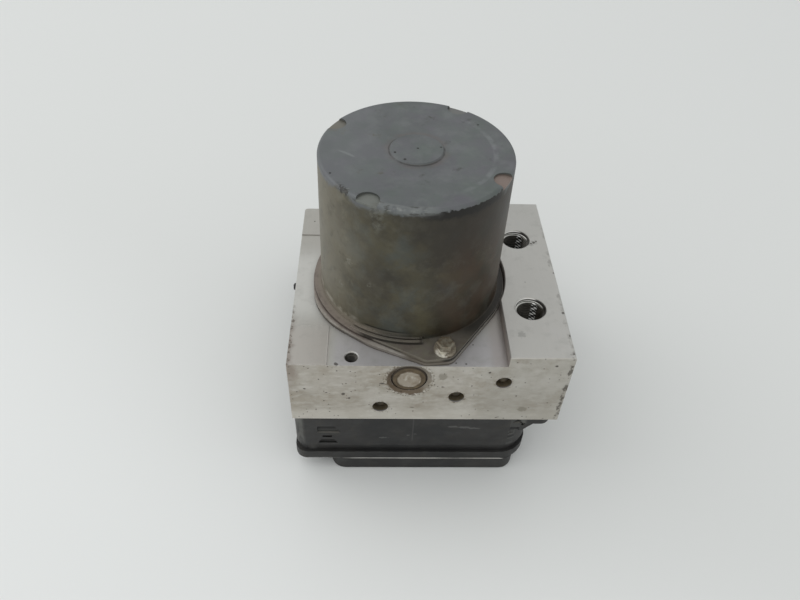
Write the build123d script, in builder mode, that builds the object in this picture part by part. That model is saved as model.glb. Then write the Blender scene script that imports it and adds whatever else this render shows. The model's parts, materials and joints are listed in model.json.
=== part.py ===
from build123d import *
from math import cos, radians, sin, sqrt
import os

os.makedirs("parts", exist_ok=True)

# ABS brake module: an aluminium valve block with a pump motor on top and a control unit below.
# Millimetres. The origin is on the motor axis, on the surface that the module rests on.
# +X points to the side with the wheel ports, +Z up the motor axis.

# ---------------------------------------------------------------------------------------------
# Driving dimensions
# ---------------------------------------------------------------------------------------------

# Valve block
block_length = 110.0
block_width = 96.8
block_height = 39.0
axis_from_left = 47.8
strip_width = 25.3
recess_depth = 5.1
block_corner = 1.5
edge_break = 0.35
pad_length = 15.2
pad_width = 20.4
back_pad_width = 19.8
pad_height = 0.3

# Control unit
unit_height = 36.0
cover_height = 12.5
tray_height = 7.8
unit_inset_left = 0.3
unit_width = 100.4
unit_overhang = 38.0
unit_wall = 2.5
front_left_round = 4.5
front_right_round = 12.0
back_round = 6.0
lip_stand = 0.6
tray_left = 15.0
tray_right = 96.3
tray_inset = 0.4
tray_round = 6.4
cover_wall = 2.0
flange_reach = 7.2
flange_thickness = 3.0
board_thickness = 1.6
floor_thickness = 2.0

# Motor
can_radius = 37.0
can_top_radius = 36.3
can_wall = 2.0
motor_height = 64.3
can_edge_round = 1.3
can_flange_radius = 40.0
can_flange_thickness = 1.4
plate_thickness = 1.6
plate_margin = 0.35
ear_distance = 44.2
ear_angle = -73.6
ear_radius = 4.9
ear_shoulder_radius = 2.6
ear_shoulder_x = 5.5
plate_corner_radius = 30.0
plate_corner_reaches = (42.0, 43.0)
plate_corner_angles = (-145, -96)
boss_radius = 9.6
boss_height = 0.7
boss_shoulder = 0.6
notch_radius = 4.2
notch_centre = 35.0
notch_depth = 1.0
notch_slope = 4.0
notch_angles = (-120, -30, 60, 150)
rib_height = 1.2
rib_width = 0.95
rib_start = -127.0
rib_arc = 43.0

# Shaft, eccentric and bearings
shaft_radius = 4.0
eccentricity = 1.2
journal_radius = 5.6
roller_radius = 0.93
ring_wall = 1.5
ring_height = 6.2
race_wall = 1.4
ball_radius = 1.3
bearing_width = 5.0
pilot_radius = 13.0
cavity_depth = 14.2

# Pump
pump_axis_height = 25.5
pump_x = -0.8
piston_radius = 3.25
piston_length = 16.7
piston_chamfer = 0.5
pump_bore_radius = 7.2
pump_bore_depth = 28.4
sleeve_length = 20.6
sleeve_floor = 7.0
sleeve_port_radius = 1.5
pump_spring_wire = 0.7
plug_recess = 0.2
plug_bevel = 0.8
plug_rim_drop = 0.9
plug_step = 0.25
plug_centre_radius = 4.7
stake_radius = 8.9
stake_depth = 0.8

# Accumulators
accumulator_radius = 9.0
accumulator_depth = 27.0
accumulator_side = 31.0
accumulator_height = 16.0
accumulator_piston_length = 7.0
accumulator_piston_crown = 2.0
accumulator_piston_wall = 1.6
accumulator_piston_chamfer = 0.6
accumulator_groove_start = 2.6
accumulator_groove_width = 2.0
accumulator_groove_depth = 1.4
accumulator_spring_wire = 1.2
accumulator_cap_depth = 3.4

# Valves and coils
valve_pitch = 22.0
valve_row = 14.0
valve_collar_radius = 6.5
valve_neck_radius = 5.25
valve_nose_radius = 4.45
valve_collar_depth = 4.0
valve_neck_depth = 10.0
valve_depth = 15.7
dome_radius = 4.0
dome_length = 19.0
dome_wall = 0.6
needle_radius = 0.9
plunger_room = 1.0
coil_radius = 10.0
coil_height = 17.5

# Ports and threaded holes (radius of the thread's outside)
port_radius = 6.0
port_depth = 17.0
port_from_right = 13.7
port_spacing = 43.6
wheel_port_radius = 5.0
wheel_port_depth = 14.0
wheel_port_height = 11.0
wheel_port_pitch = 22.0
thread_chamfer = 0.55
top_hole_radius = 2.5
top_hole_depth = 10.0
top_hole_x = 24.5
top_hole_y = 4.4
side_hole_radius = 3.0
side_hole_depth = 10.5
side_hole_spacing = 20.0
side_hole_height = 25.0
motor_bolt_radius = 3.0
motor_bolt_depth = 15.0
unit_screw_radius = 2.0
unit_screw_depth = 10.0

# Clearances
sliding = 0.05
seated = 0.02
spring_gap = 0.1
free_gap = 0.3
overshoot = 1.0
drill_tip = 0.6

# ---------------------------------------------------------------------------------------------
# Places worked out from the dimensions
# ---------------------------------------------------------------------------------------------

block_bottom = unit_height
block_top = block_bottom + block_height
recess_top = block_top - recess_depth
block_left = -axis_from_left
block_right = block_left + block_length
block_mid = (block_left + block_right) / 2
block_front = -block_width / 2
block_back = block_width / 2
strip_left = block_right - strip_width

plate_top = recess_top + plate_thickness
flange_top = plate_top + can_flange_thickness
motor_top = recess_top + motor_height
can_ceiling = motor_top - can_wall
ears = [
    (side * ear_distance * cos(radians(ear_angle)), side * ear_distance * sin(radians(ear_angle)))
    for side in (1, -1)
]
ear_shoulder_y = block_front + ear_shoulder_radius + plate_margin + sliding
ear_shoulders = [(side * ear_shoulder_x, side * ear_shoulder_y) for side in (1, -1)]
clearance_radius = can_flange_radius + plate_margin + 4 * sliding

unit_left = block_left + unit_inset_left
unit_right = unit_left + unit_width
unit_front = block_front
unit_back = block_back + unit_overhang
unit_mid = ((unit_left + unit_right) / 2, (unit_front + unit_back) / 2)

pump_z = block_bottom + pump_axis_height
journal_low = pump_z - ring_height / 2
journal_high = pump_z + ring_height / 2
ring_inner = journal_radius + 2 * roller_radius + 2 * seated
ring_outer = ring_inner + ring_wall
sweep_radius = ring_outer + eccentricity

valve_columns = [valve_pitch * step for step in (-1.5, -0.5, 0.5, 1.5)]
inlet_places = [(x, -valve_row) for x in valve_columns]
outlet_places = [(x, valve_row) for x in valve_columns]

ends = {"front": -1, "rear": 1}


def save(piece, label):
    """Name a finished piece and write it."""
    piece.label = label
    export_step(piece, f"parts/{label}.step")


def turned(points, origin, direction):
    """A turned piece from its half section, as (radius, distance along direction) points."""
    along = Vector(*direction)
    across = Vector(0, 1, 0) if abs(along.X) > 0.5 else Vector(1, 0, 0)
    with BuildPart() as piece:
        with BuildSketch(Plane(origin=origin, x_dir=across, z_dir=across.cross(along))):
            with BuildLine():
                Polyline(*points, close=True)
            make_face()
        revolve(axis=Axis(origin, direction))
    return piece.part


def drilling(origin, inward, steps, chamfer_size=0.0, pointed=True):
    """The space of a stepped hole: steps are (radius, depth) pairs, largest radius first."""
    points = [(0, -overshoot)]
    start = -overshoot
    if chamfer_size:
        mouth = steps[0][0] + chamfer_size
        points += [(mouth, -overshoot), (mouth, 0)]
        start = chamfer_size
    for radius, depth in steps:
        points += [(radius, start), (radius, depth)]
        start = depth
    tip = drill_tip * steps[-1][0] if pointed else 0
    points.append((0, start + tip))
    return turned(points, origin, inward)


def coil_spring(radius, wire, turns, length, origin, direction):
    """A coil spring of square wire along direction from origin."""
    with BuildPart() as spring:
        with BuildLine() as path:
            Helix(
                pitch=(length - wire) / turns,
                height=length - wire,
                radius=radius,
                center=Vector(*origin) + Vector(*direction) * (wire / 2),
                direction=direction,
            )
        with BuildSketch(Plane(origin=path.line @ 0, z_dir=path.line % 0)):
            Rectangle(wire, wire)
        sweep(is_frenet=True)
    return spring.part


# ---------------------------------------------------------------------------------------------
# Valve block: a sawn and milled aluminium block, drilled from every side
# ---------------------------------------------------------------------------------------------

port_x = block_right - port_from_right
port_places = [(port_x, side * port_spacing / 2) for side in (-1, 1)]
wheel_port_z = block_bottom + wheel_port_height
wheel_port_rows = [wheel_port_pitch * step for step in (-1.5, -0.5, 0.5, 1.5)]
seal_holes = [(36.0, 8.4), (66.3, 15.0), (84.2, 24.2)]
seal_radius = 3.2
seal_hole_depth = 7.0
channel_radius = 2.0
channel_depth = 24.0
contact_x = -valve_pitch
contact_bore_radius = 4.5
contact_end = 1.5
left_screw_inset = (7.5, 5.9)
right_screw_reach = 4.1
left_screws = [
    (block_left + left_screw_inset[0], side * (block_back - left_screw_inset[1]))
    for side in (-1, 1)
]
right_screws = [(unit_right + right_screw_reach, side * valve_pitch) for side in (-1, 1)]
vent_y = -2.4
vent_z = recess_top - 2.9
vent_radius = 1.3
vent_depth = 5.0
side_hole_z = block_bottom + side_hole_height
accumulator_z = block_bottom + accumulator_height
accumulator_floor = block_left + accumulator_depth

drillings = []
for x, y in port_places:
    drillings.append(
        drilling((x, y, block_top), (0, 0, -1), [(port_radius, port_depth)], thread_chamfer)
    )
for y in wheel_port_rows:
    drillings.append(
        drilling(
            (block_right, y, wheel_port_z),
            (-1, 0, 0),
            [(wheel_port_radius, wheel_port_depth)],
            thread_chamfer,
        )
    )
top_hole = (block_left + top_hole_x, block_front + top_hole_y)
drillings.append(
    drilling((*top_hole, recess_top), (0, 0, -1), [(top_hole_radius, top_hole_depth)], edge_break)
)
for side in (-1, 1):
    drillings.append(
        drilling(
            (block_left, side * side_hole_spacing / 2, side_hole_z),
            (1, 0, 0),
            [(side_hole_radius, side_hole_depth)],
            edge_break,
        )
    )
for x, y in ears:
    drillings.append(
        drilling((x, y, recess_top), (0, 0, -1), [(motor_bolt_radius, motor_bolt_depth)])
    )
for x, y in left_screws + right_screws:
    drillings.append(
        drilling((x, y, block_bottom), (0, 0, 1), [(unit_screw_radius, unit_screw_depth)])
    )
for x, y in inlet_places + outlet_places:
    drillings.append(
        drilling(
            (x, y, block_bottom),
            (0, 0, 1),
            [
                (valve_collar_radius, valve_collar_depth),
                (valve_neck_radius, valve_neck_depth),
                (valve_nose_radius, valve_depth + free_gap),
            ],
        )
    )
for side in ends.values():
    face = side * block_back
    inward = (0, -side, 0)
    drillings.append(
        drilling(
            (pump_x, face, pump_z),
            inward,
            [(pump_bore_radius, pump_bore_depth), (piston_radius + sliding, block_back)],
            pointed=False,
        )
    )
    # The bore's mouth is pressed in all round, to stake the plug.
    drillings.append(
        turned(
            [
                (plug_centre_radius, -overshoot),
                (stake_radius, -overshoot),
                (stake_radius, 0),
                (pump_bore_radius, stake_depth),
                (plug_centre_radius, stake_depth),
            ],
            (pump_x, face, pump_z),
            inward,
        )
    )
    for along, up in seal_holes:
        drillings.append(
            drilling(
                (block_left + along, face, block_bottom + up),
                inward,
                [(seal_radius, seal_hole_depth), (channel_radius, channel_depth)],
            )
        )
    drillings.append(
        drilling(
            (block_left, side * accumulator_side, accumulator_z),
            (1, 0, 0),
            [(accumulator_radius, accumulator_depth)],
            pointed=False,
        )
    )
drillings.append(
    drilling((0, 0, recess_top), (0, 0, -1), [(pilot_radius, cavity_depth)], pointed=False)
)
drillings.append(
    drilling(
        (contact_x, 0, recess_top),
        (0, 0, -1),
        [(contact_bore_radius, block_height)],
        pointed=False,
    )
)
drillings.append(drilling((block_left, vent_y, vent_z), (1, 0, 0), [(vent_radius, vent_depth)]))

with BuildPart() as valve_block:
    with BuildSketch(Plane.XY.offset(block_bottom)):
        with Locations((block_mid, 0)):
            Rectangle(block_length, block_width)
    extrude(amount=block_height)
    back_left = valve_block.edges().filter_by(Axis.Z).group_by(Axis.X)[0].sort_by(Axis.Y)[-1]
    fillet(back_left, radius=block_corner)
    # The motor side is milled down, with a round clearance for the motor's flange.
    with BuildSketch(Plane.XY.offset(recess_top)):
        with Locations((strip_left, 0)):
            Rectangle(block_length, block_width + overshoot, align=(Align.MAX, Align.CENTER))
        Circle(clearance_radius)
    extrude(amount=block_height, mode=Mode.SUBTRACT)
    chamfer(valve_block.edges().group_by(Axis.Z)[-1], length=edge_break)
    # Two faint pads stay proud on the left.
    with BuildSketch(Plane.XY.offset(recess_top)):
        with Locations((block_left, block_front)):
            Rectangle(pad_length, pad_width, align=(Align.MIN, Align.MIN))
    extrude(amount=pad_height)
    with BuildSketch(Plane.XY.offset(recess_top)):
        with Locations((block_left, block_back - block_corner)):
            Rectangle(pad_length, back_pad_width - block_corner, align=(Align.MIN, Align.MAX))
    extrude(amount=pad_height)
    add(drillings, mode=Mode.SUBTRACT)
save(valve_block.part, "valve_block")

# Pressed-in balls close the drilled channels on the front and the back.
ball_plug_radius = seal_radius - seated
ball_plug_depth = seal_hole_depth - sqrt(ball_plug_radius**2 - channel_radius**2) - seated
with BuildPart() as seal_balls:
    for side in ends.values():
        for along, up in seal_holes:
            ball_y = side * (block_back - ball_plug_depth)
            with Locations((block_left + along, ball_y, block_bottom + up)):
                Sphere(ball_plug_radius)
save(seal_balls.part, "seal_balls")

vent_stand = 1.2
vent_rim = 0.2
vent_bevel = 0.4
vent_plug = turned(
    [
        (0, -vent_stand),
        (vent_radius + vent_rim - vent_bevel, -vent_stand),
        (vent_radius + vent_rim, -vent_stand + vent_bevel),
        (vent_radius + vent_rim, 0),
        (vent_radius - seated, 0),
        (vent_radius - seated, vent_depth),
        (0, vent_depth),
    ],
    (block_left, vent_y, vent_z),
    (1, 0, 0),
)
save(vent_plug, "vent_plug")

# ---------------------------------------------------------------------------------------------
# Motor: end plate, drawn steel can and its bolts
# ---------------------------------------------------------------------------------------------

race_inner = shaft_radius + seated
ball_orbit = race_inner + race_wall + seated + ball_radius
race_outer = ball_orbit + ball_radius + seated + race_wall
journal_gap = 1.3
bearing_low = journal_high + journal_gap
bearing_high = bearing_low + bearing_width
pilot_lip = 0.5
seal_groove = (29.0, 31.0)
seal_groove_depth = 0.9


def flange_outline(margin, corners=()):
    """Two-bolt flange: the hull of a round flange, its bolt ears, their shoulders and corners."""
    with BuildSketch() as outline:
        Circle(can_flange_radius + margin)
        with Locations(*ears):
            Circle(ear_radius + margin)
        with Locations(*ear_shoulders):
            Circle(ear_shoulder_radius + margin)
        for place in corners:
            with Locations(place):
                Circle(plate_corner_radius)
        make_hull()
    return outline.sketch


# The plate reaches a little further out than the can's flange on the front left.
plate_corners = [
    Vector(reach - plate_corner_radius, 0).rotate(Axis.Z, angle)
    for reach, angle in zip(plate_corner_reaches, plate_corner_angles)
]
plate_outline = flange_outline(plate_margin, plate_corners)
can_outline = flange_outline(0.0)

with BuildPart() as motor_end_plate:
    with BuildSketch(Plane.XY.offset(recess_top)):
        add(plate_outline)
        with Locations(*ears):
            Circle(motor_bolt_radius + free_gap, mode=Mode.SUBTRACT)
        with Locations((contact_x, 0)):
            Circle(contact_bore_radius, mode=Mode.SUBTRACT)
    extrude(amount=plate_thickness)
    # The pilot centres the motor in the block and holds the front bearing.
    with BuildSketch(Plane.XY.offset(bearing_low - pilot_lip)):
        Circle(pilot_radius - sliding)
    extrude(amount=plate_top - bearing_low + pilot_lip)
    with BuildSketch(Plane.XY.offset(bearing_low)):
        Circle(race_outer + seated)
    extrude(amount=plate_top - bearing_low, mode=Mode.SUBTRACT)
    with BuildSketch(Plane.XY.offset(bearing_low - pilot_lip)):
        Circle(race_outer - race_wall)
    extrude(amount=pilot_lip, mode=Mode.SUBTRACT)
    with BuildSketch(Plane.XY.offset(recess_top)):
        Circle(seal_groove[1])
        Circle(seal_groove[0], mode=Mode.SUBTRACT)
    extrude(amount=seal_groove_depth, mode=Mode.SUBTRACT)
save(motor_end_plate.part, "motor_end_plate")

motor_seal = turned(
    [
        (seal_groove[0] + seated, 0),
        (seal_groove[1] - seated, 0),
        (seal_groove[1] - seated, seal_groove_depth - seated),
        (seal_groove[0] + seated, seal_groove_depth - seated),
    ],
    (0, 0, recess_top),
    (0, 0, 1),
)
save(motor_seal, "motor_seal")

collar_height = 6.0
bush_wall = 3.6
bush_radius = shaft_radius + sliding + bush_wall
can_inner = can_radius - can_wall

with BuildPart() as motor_can:
    # The drawn cup, with a slight draft from its base to its closed end.
    with BuildSketch(Plane.XZ):
        with BuildLine():
            Polyline(
                (can_inner, plate_top),
                (can_radius, plate_top),
                (can_top_radius, motor_top),
                (0, motor_top),
                (0, can_ceiling),
                (can_top_radius - can_wall, can_ceiling),
                close=True,
            )
        make_face()
    revolve(axis=Axis.Z)
    rims = motor_can.edges().filter_by(GeomType.CIRCLE).sort_by(Axis.Z)
    fillet(rims[-1], radius=can_edge_round)
    # The flange, with the bolt ears.
    with BuildSketch(Plane.XY.offset(plate_top)):
        add(can_outline)
        Circle(can_inner, mode=Mode.SUBTRACT)
        with Locations(*ears):
            Circle(motor_bolt_radius + free_gap, mode=Mode.SUBTRACT)
    extrude(amount=can_flange_thickness)
    # The boss over the rear bearing and the collar that holds the bearing inside.
    with BuildSketch(Plane.XZ):
        with BuildLine():
            Polyline(
                (0, motor_top - can_wall / 2),
                (boss_radius + boss_shoulder, motor_top - can_wall / 2),
                (boss_radius + boss_shoulder, motor_top),
                (boss_radius, motor_top + boss_height),
                (0, motor_top + boss_height),
                close=True,
            )
        make_face()
    revolve(axis=Axis.Z)
    with BuildSketch(Plane.XY.offset(can_ceiling - collar_height)):
        Circle(bush_radius + can_wall)
        Circle(bush_radius + seated, mode=Mode.SUBTRACT)
    extrude(amount=collar_height)
    # Two short stiffening ribs lie side by side at the foot of the wall.
    with BuildSketch(Plane.XZ.rotated((0, 0, rib_start))):
        for rib in (0, 1):
            with Locations((can_radius + 2 * rib * rib_width, flange_top)):
                Rectangle(rib_width, rib_height, align=(Align.MIN, Align.MIN))
    revolve(axis=Axis.Z, revolution_arc=rib_arc)
    # Half-moon punch marks stake the rim; their floors slope down to the outside.
    for angle in notch_angles:
        outwards = Vector(cos(radians(angle)), sin(radians(angle)), 0)
        tilted = Plane(
            origin=outwards * notch_centre + Vector(0, 0, motor_top - notch_depth),
            x_dir=outwards.rotate(Axis((0, 0, 0), outwards.cross(Vector(0, 0, 1))), -notch_slope),
            z_dir=Vector(0, 0, 1) * cos(radians(notch_slope)) + outwards * sin(radians(notch_slope)),
        )
        with BuildSketch(tilted):
            Circle(notch_radius)
        extrude(amount=2 * notch_radius, mode=Mode.SUBTRACT)
save(motor_can.part, "motor_can")

bolt_collar_radius = 4.35
bolt_collar_height = 1.3
bolt_head_across = 6.2
bolt_head_height = 4.4
bolt_chamfer = 0.5
bolt_end_gap = 2.0
bolt_length = motor_bolt_depth - bolt_end_gap
collar_taper = 8
with BuildPart() as motor_bolts:
    with BuildSketch(Plane.XY.offset(flange_top)):
        with Locations(*ears):
            Circle(bolt_collar_radius)
    extrude(amount=bolt_collar_height, taper=collar_taper)
    with BuildSketch(Plane.XY.offset(flange_top + bolt_collar_height)):
        with Locations(*ears):
            RegularPolygon(bolt_head_across / 2, 6, major_radius=False)
    extrude(amount=bolt_head_height - bolt_collar_height)
    chamfer(motor_bolts.edges().group_by(Axis.Z)[-1], length=bolt_chamfer)
    with BuildSketch(Plane.XY.offset(recess_top - bolt_length)):
        with Locations(*ears):
            Circle(motor_bolt_radius - seated)
    extrude(amount=flange_top - recess_top + bolt_length)
save(motor_bolts.part, "motor_bolts")

# ---------------------------------------------------------------------------------------------
# Motor: what turns and what it turns in
# ---------------------------------------------------------------------------------------------

shaft_end_gap = 0.4
shaft_top = can_ceiling - shaft_end_gap
shaft_chamfer = 0.6
stud_length = 1.2
bush_low = can_ceiling - collar_height
commutator_low = plate_top + 4.5
commutator_height = 10.0
commutator_radius = 9.0
commutator_bars = 10
commutator_slot = (1.6, 0.6)
core_from_commutator = 7.0
core_low = commutator_low + commutator_height + core_from_commutator
core_height = 29.0
slot_roof = 2.5
air_gap = 0.8
magnet_wall = 6.98
magnet_outer = can_top_radius - can_wall - seated
core_radius = magnet_outer - magnet_wall - air_gap
core_slots = 10
slot_inner = 13.0
slot_outer = core_radius - slot_roof
slot_width = 5.0
slot_mouth = 2.0
winding_height = 5.0
winding_inner = 11.2
winding_round = 1.8
magnet_arc = 132.0
magnet_reach = 4.0
core_high = core_low + core_height

rear_bush = turned(
    [
        (shaft_radius + sliding, bush_low),
        (bush_radius, bush_low),
        (bush_radius, can_ceiling - seated),
        (shaft_radius + sliding, can_ceiling - seated),
    ],
    (0, 0, 0),
    (0, 0, 1),
)
save(rear_bush, "rear_bush")

for label, inner, outer in (
    ("front_bearing_inner_ring", race_inner, race_inner + race_wall),
    ("front_bearing_outer_ring", race_outer - race_wall, race_outer),
):
    ring = turned(
        [(inner, bearing_low), (outer, bearing_low), (outer, bearing_high), (inner, bearing_high)],
        (0, 0, 0),
        (0, 0, 1),
    )
    save(ring, label)

bearing_balls_count = 7
with BuildPart() as front_bearing_balls:
    with Locations((0, 0, (bearing_low + bearing_high) / 2)):
        with PolarLocations(ball_orbit, bearing_balls_count):
            Sphere(ball_radius)
save(front_bearing_balls.part, "front_bearing_balls")

with BuildPart() as motor_shaft:
    with BuildSketch(Plane.XY.offset(journal_high)):
        Circle(shaft_radius)
    extrude(amount=shaft_top - journal_high)
    chamfer(motor_shaft.edges().group_by(Axis.Z)[-1], length=shaft_chamfer)
    with BuildSketch(Plane.XY.offset(journal_low)):
        with Locations((eccentricity, 0)):
            Circle(journal_radius)
    extrude(amount=ring_height)
    # A thinner stud below keeps the ring from sliding off.
    with BuildSketch(Plane.XY.offset(journal_low)):
        Circle(shaft_radius)
    extrude(amount=-stud_length)
save(motor_shaft.part, "motor_shaft")

eccentric_ring = turned(
    [
        (ring_inner, journal_low),
        (ring_outer, journal_low),
        (ring_outer, journal_high),
        (ring_inner, journal_high),
    ],
    (eccentricity, 0, 0),
    (0, 0, 1),
)
save(eccentric_ring, "eccentric_ring")

roller_count = 10
with BuildPart() as eccentric_rollers:
    with BuildSketch(Plane.XY.offset(journal_low + free_gap)):
        with Locations((eccentricity, 0)):
            with PolarLocations(journal_radius + roller_radius + seated, roller_count):
                Circle(roller_radius)
    extrude(amount=ring_height - 2 * free_gap)
save(eccentric_rollers.part, "eccentric_rollers")

with BuildPart() as commutator:
    with BuildSketch(Plane.XY.offset(commutator_low)):
        Circle(commutator_radius)
        Circle(shaft_radius + seated, mode=Mode.SUBTRACT)
        with PolarLocations(commutator_radius, commutator_bars):
            Rectangle(*commutator_slot, mode=Mode.SUBTRACT)
    extrude(amount=commutator_height)
save(commutator.part, "commutator")


def core_slot(gap):
    """One slot of the core as a sketch along +X, smaller all round by a gap."""
    with BuildSketch() as slot:
        with Locations(((slot_inner + slot_outer) / 2, 0)):
            Rectangle(slot_outer - slot_inner - 2 * gap, slot_width - 2 * gap)
    return slot.sketch


with BuildPart() as armature_core:
    with BuildSketch(Plane.XY.offset(core_low)):
        Circle(core_radius)
        Circle(shaft_radius + seated, mode=Mode.SUBTRACT)
        for step in range(core_slots):
            with Locations(Location((0, 0, 0), (0, 0, step * 360 / core_slots))):
                add(core_slot(0.0), mode=Mode.SUBTRACT)
        with PolarLocations((slot_outer + core_radius) / 2, core_slots):
            Rectangle(core_radius - slot_outer + overshoot, slot_mouth, mode=Mode.SUBTRACT)
    extrude(amount=core_height)
save(armature_core.part, "armature_core")

with BuildPart() as armature_windings:
    with BuildSketch(Plane.XY.offset(core_low)):
        for step in range(core_slots):
            with Locations(Location((0, 0, 0), (0, 0, step * 360 / core_slots))):
                add(core_slot(sliding))
    extrude(amount=core_height)
    for start in (core_low - winding_height, core_high):
        with BuildSketch(Plane.XY.offset(start)):
            Circle(slot_outer)
            Circle(winding_inner, mode=Mode.SUBTRACT)
        extrude(amount=winding_height)
    for end in (-1, 0):
        rims = armature_windings.edges().filter_by(GeomType.CIRCLE).group_by(Axis.Z)[end]
        fillet(rims, radius=winding_round)
save(armature_windings.part, "armature_windings")

with BuildPart() as magnets:
    with BuildSketch(Plane.XY.offset(core_low - magnet_reach)):
        with BuildLine():
            CenterArc((0, 0), magnet_outer, -magnet_arc / 2, magnet_arc)
            CenterArc((0, 0), core_radius + air_gap, -magnet_arc / 2, magnet_arc)
            for turn in (-magnet_arc / 2, magnet_arc / 2):
                Line(
                    Vector(core_radius + air_gap, 0).rotate(Axis.Z, turn),
                    Vector(magnet_outer, 0).rotate(Axis.Z, turn),
                )
        make_face()
        mirror(about=Plane.YZ)
    extrude(amount=core_height + 2 * magnet_reach)
save(magnets.part, "magnets")

holder_thickness = 3.0
holder_radius = can_inner - free_gap
holder_opening = commutator_radius + 1.0
brush_lead = 0.4
brush_width = 6.0
brush_length = 11.0
brush_height = 6.0
brush_low = commutator_low + 2.0
guide_wall = 1.2
guide_spare = 3.0
guide_length = brush_length + guide_spare
guide_start = holder_opening
pin_thickness = 0.8
pin_width = 2.4
pin_spacing = 4.0
with BuildPart() as brush_holder:
    with BuildSketch(Plane.XY.offset(plate_top)):
        Circle(holder_radius)
        Circle(holder_opening, mode=Mode.SUBTRACT)
        with Locations((contact_x, -pin_spacing / 2), (contact_x, pin_spacing / 2)):
            Rectangle(pin_width + 2 * seated, pin_thickness + 2 * seated, mode=Mode.SUBTRACT)
    extrude(amount=holder_thickness)
    # A box guide for each brush, open towards the commutator.
    for side in (-1, 1):
        guide_mid = side * (guide_start + guide_length / 2)
        with BuildSketch(Plane.XY.offset(plate_top + holder_thickness)):
            with Locations((0, guide_mid)):
                Rectangle(brush_width + 2 * guide_wall, guide_length)
        extrude(amount=brush_low + brush_height + guide_wall - plate_top - holder_thickness)
        with BuildSketch(Plane.XY.offset(brush_low - sliding)):
            with Locations((0, guide_mid - side * guide_wall)):
                Rectangle(brush_width + 2 * sliding, guide_length)
        extrude(amount=brush_height + 2 * sliding, mode=Mode.SUBTRACT)
save(brush_holder.part, "brush_holder")

with BuildPart() as brushes:
    with BuildSketch(Plane.XY.offset(brush_low)):
        for side in (-1, 1):
            with Locations((0, side * (commutator_radius - brush_lead + brush_length / 2))):
                Rectangle(brush_width, brush_length)
        Circle(commutator_radius + sliding, mode=Mode.SUBTRACT)
    extrude(amount=brush_height)
save(brushes.part, "brushes")

# ---------------------------------------------------------------------------------------------
# Pump, front and rear: piston, spring, sleeve and staked plug, all on the pump bore's axis
# ---------------------------------------------------------------------------------------------

piston_tip = sweep_radius + 3 * sliding
piston_end = piston_tip + piston_length
sleeve_start = block_back - pump_bore_depth + seated
sleeve_end = sleeve_start + sleeve_length
pump_spring_start = piston_end + free_gap
pump_spring_length = sleeve_end - sleeve_floor - pump_spring_start - spring_gap
pump_spring_radius = piston_radius - pump_spring_wire
pump_spring_turns = 4
plug_top = block_back - plug_recess - sleeve_end - seated
for name, side in ends.items():
    centre = (pump_x, 0, pump_z)
    outwards = (0, side, 0)
    pump_piston = turned(
        [
            (0, piston_tip),
            (piston_radius - piston_chamfer, piston_tip),
            (piston_radius, piston_tip + piston_chamfer),
            (piston_radius, piston_end),
            (0, piston_end),
        ],
        centre,
        outwards,
    )
    save(pump_piston, f"pump_piston_{name}")
    sleeve = turned(
        [
            (piston_radius + sliding, sleeve_start),
            (pump_bore_radius - seated, sleeve_start),
            (pump_bore_radius - seated, sleeve_end),
            (sleeve_port_radius, sleeve_end),
            (sleeve_port_radius, sleeve_end - sleeve_floor),
            (piston_radius + sliding, sleeve_end - sleeve_floor),
        ],
        centre,
        outwards,
    )
    save(sleeve, f"pump_sleeve_{name}")
    pump_spring = coil_spring(
        pump_spring_radius,
        pump_spring_wire,
        pump_spring_turns,
        pump_spring_length,
        (pump_x, side * pump_spring_start, pump_z),
        outwards,
    )
    save(pump_spring, f"pump_spring_{name}")
    plug = turned(
        [
            (0, 0),
            (pump_bore_radius - seated, 0),
            (pump_bore_radius - seated, plug_top - plug_rim_drop),
            (pump_bore_radius - plug_bevel, plug_top - plug_step),
            (plug_centre_radius + plug_step, plug_top - plug_step),
            (plug_centre_radius, plug_top),
            (0, plug_top),
        ],
        (pump_x, side * (sleeve_end + seated), pump_z),
        outwards,
    )
    save(plug, f"pump_plug_{name}")

# ---------------------------------------------------------------------------------------------
# Accumulators, front and rear: a sprung piston in a bore from the left face
# ---------------------------------------------------------------------------------------------

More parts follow.
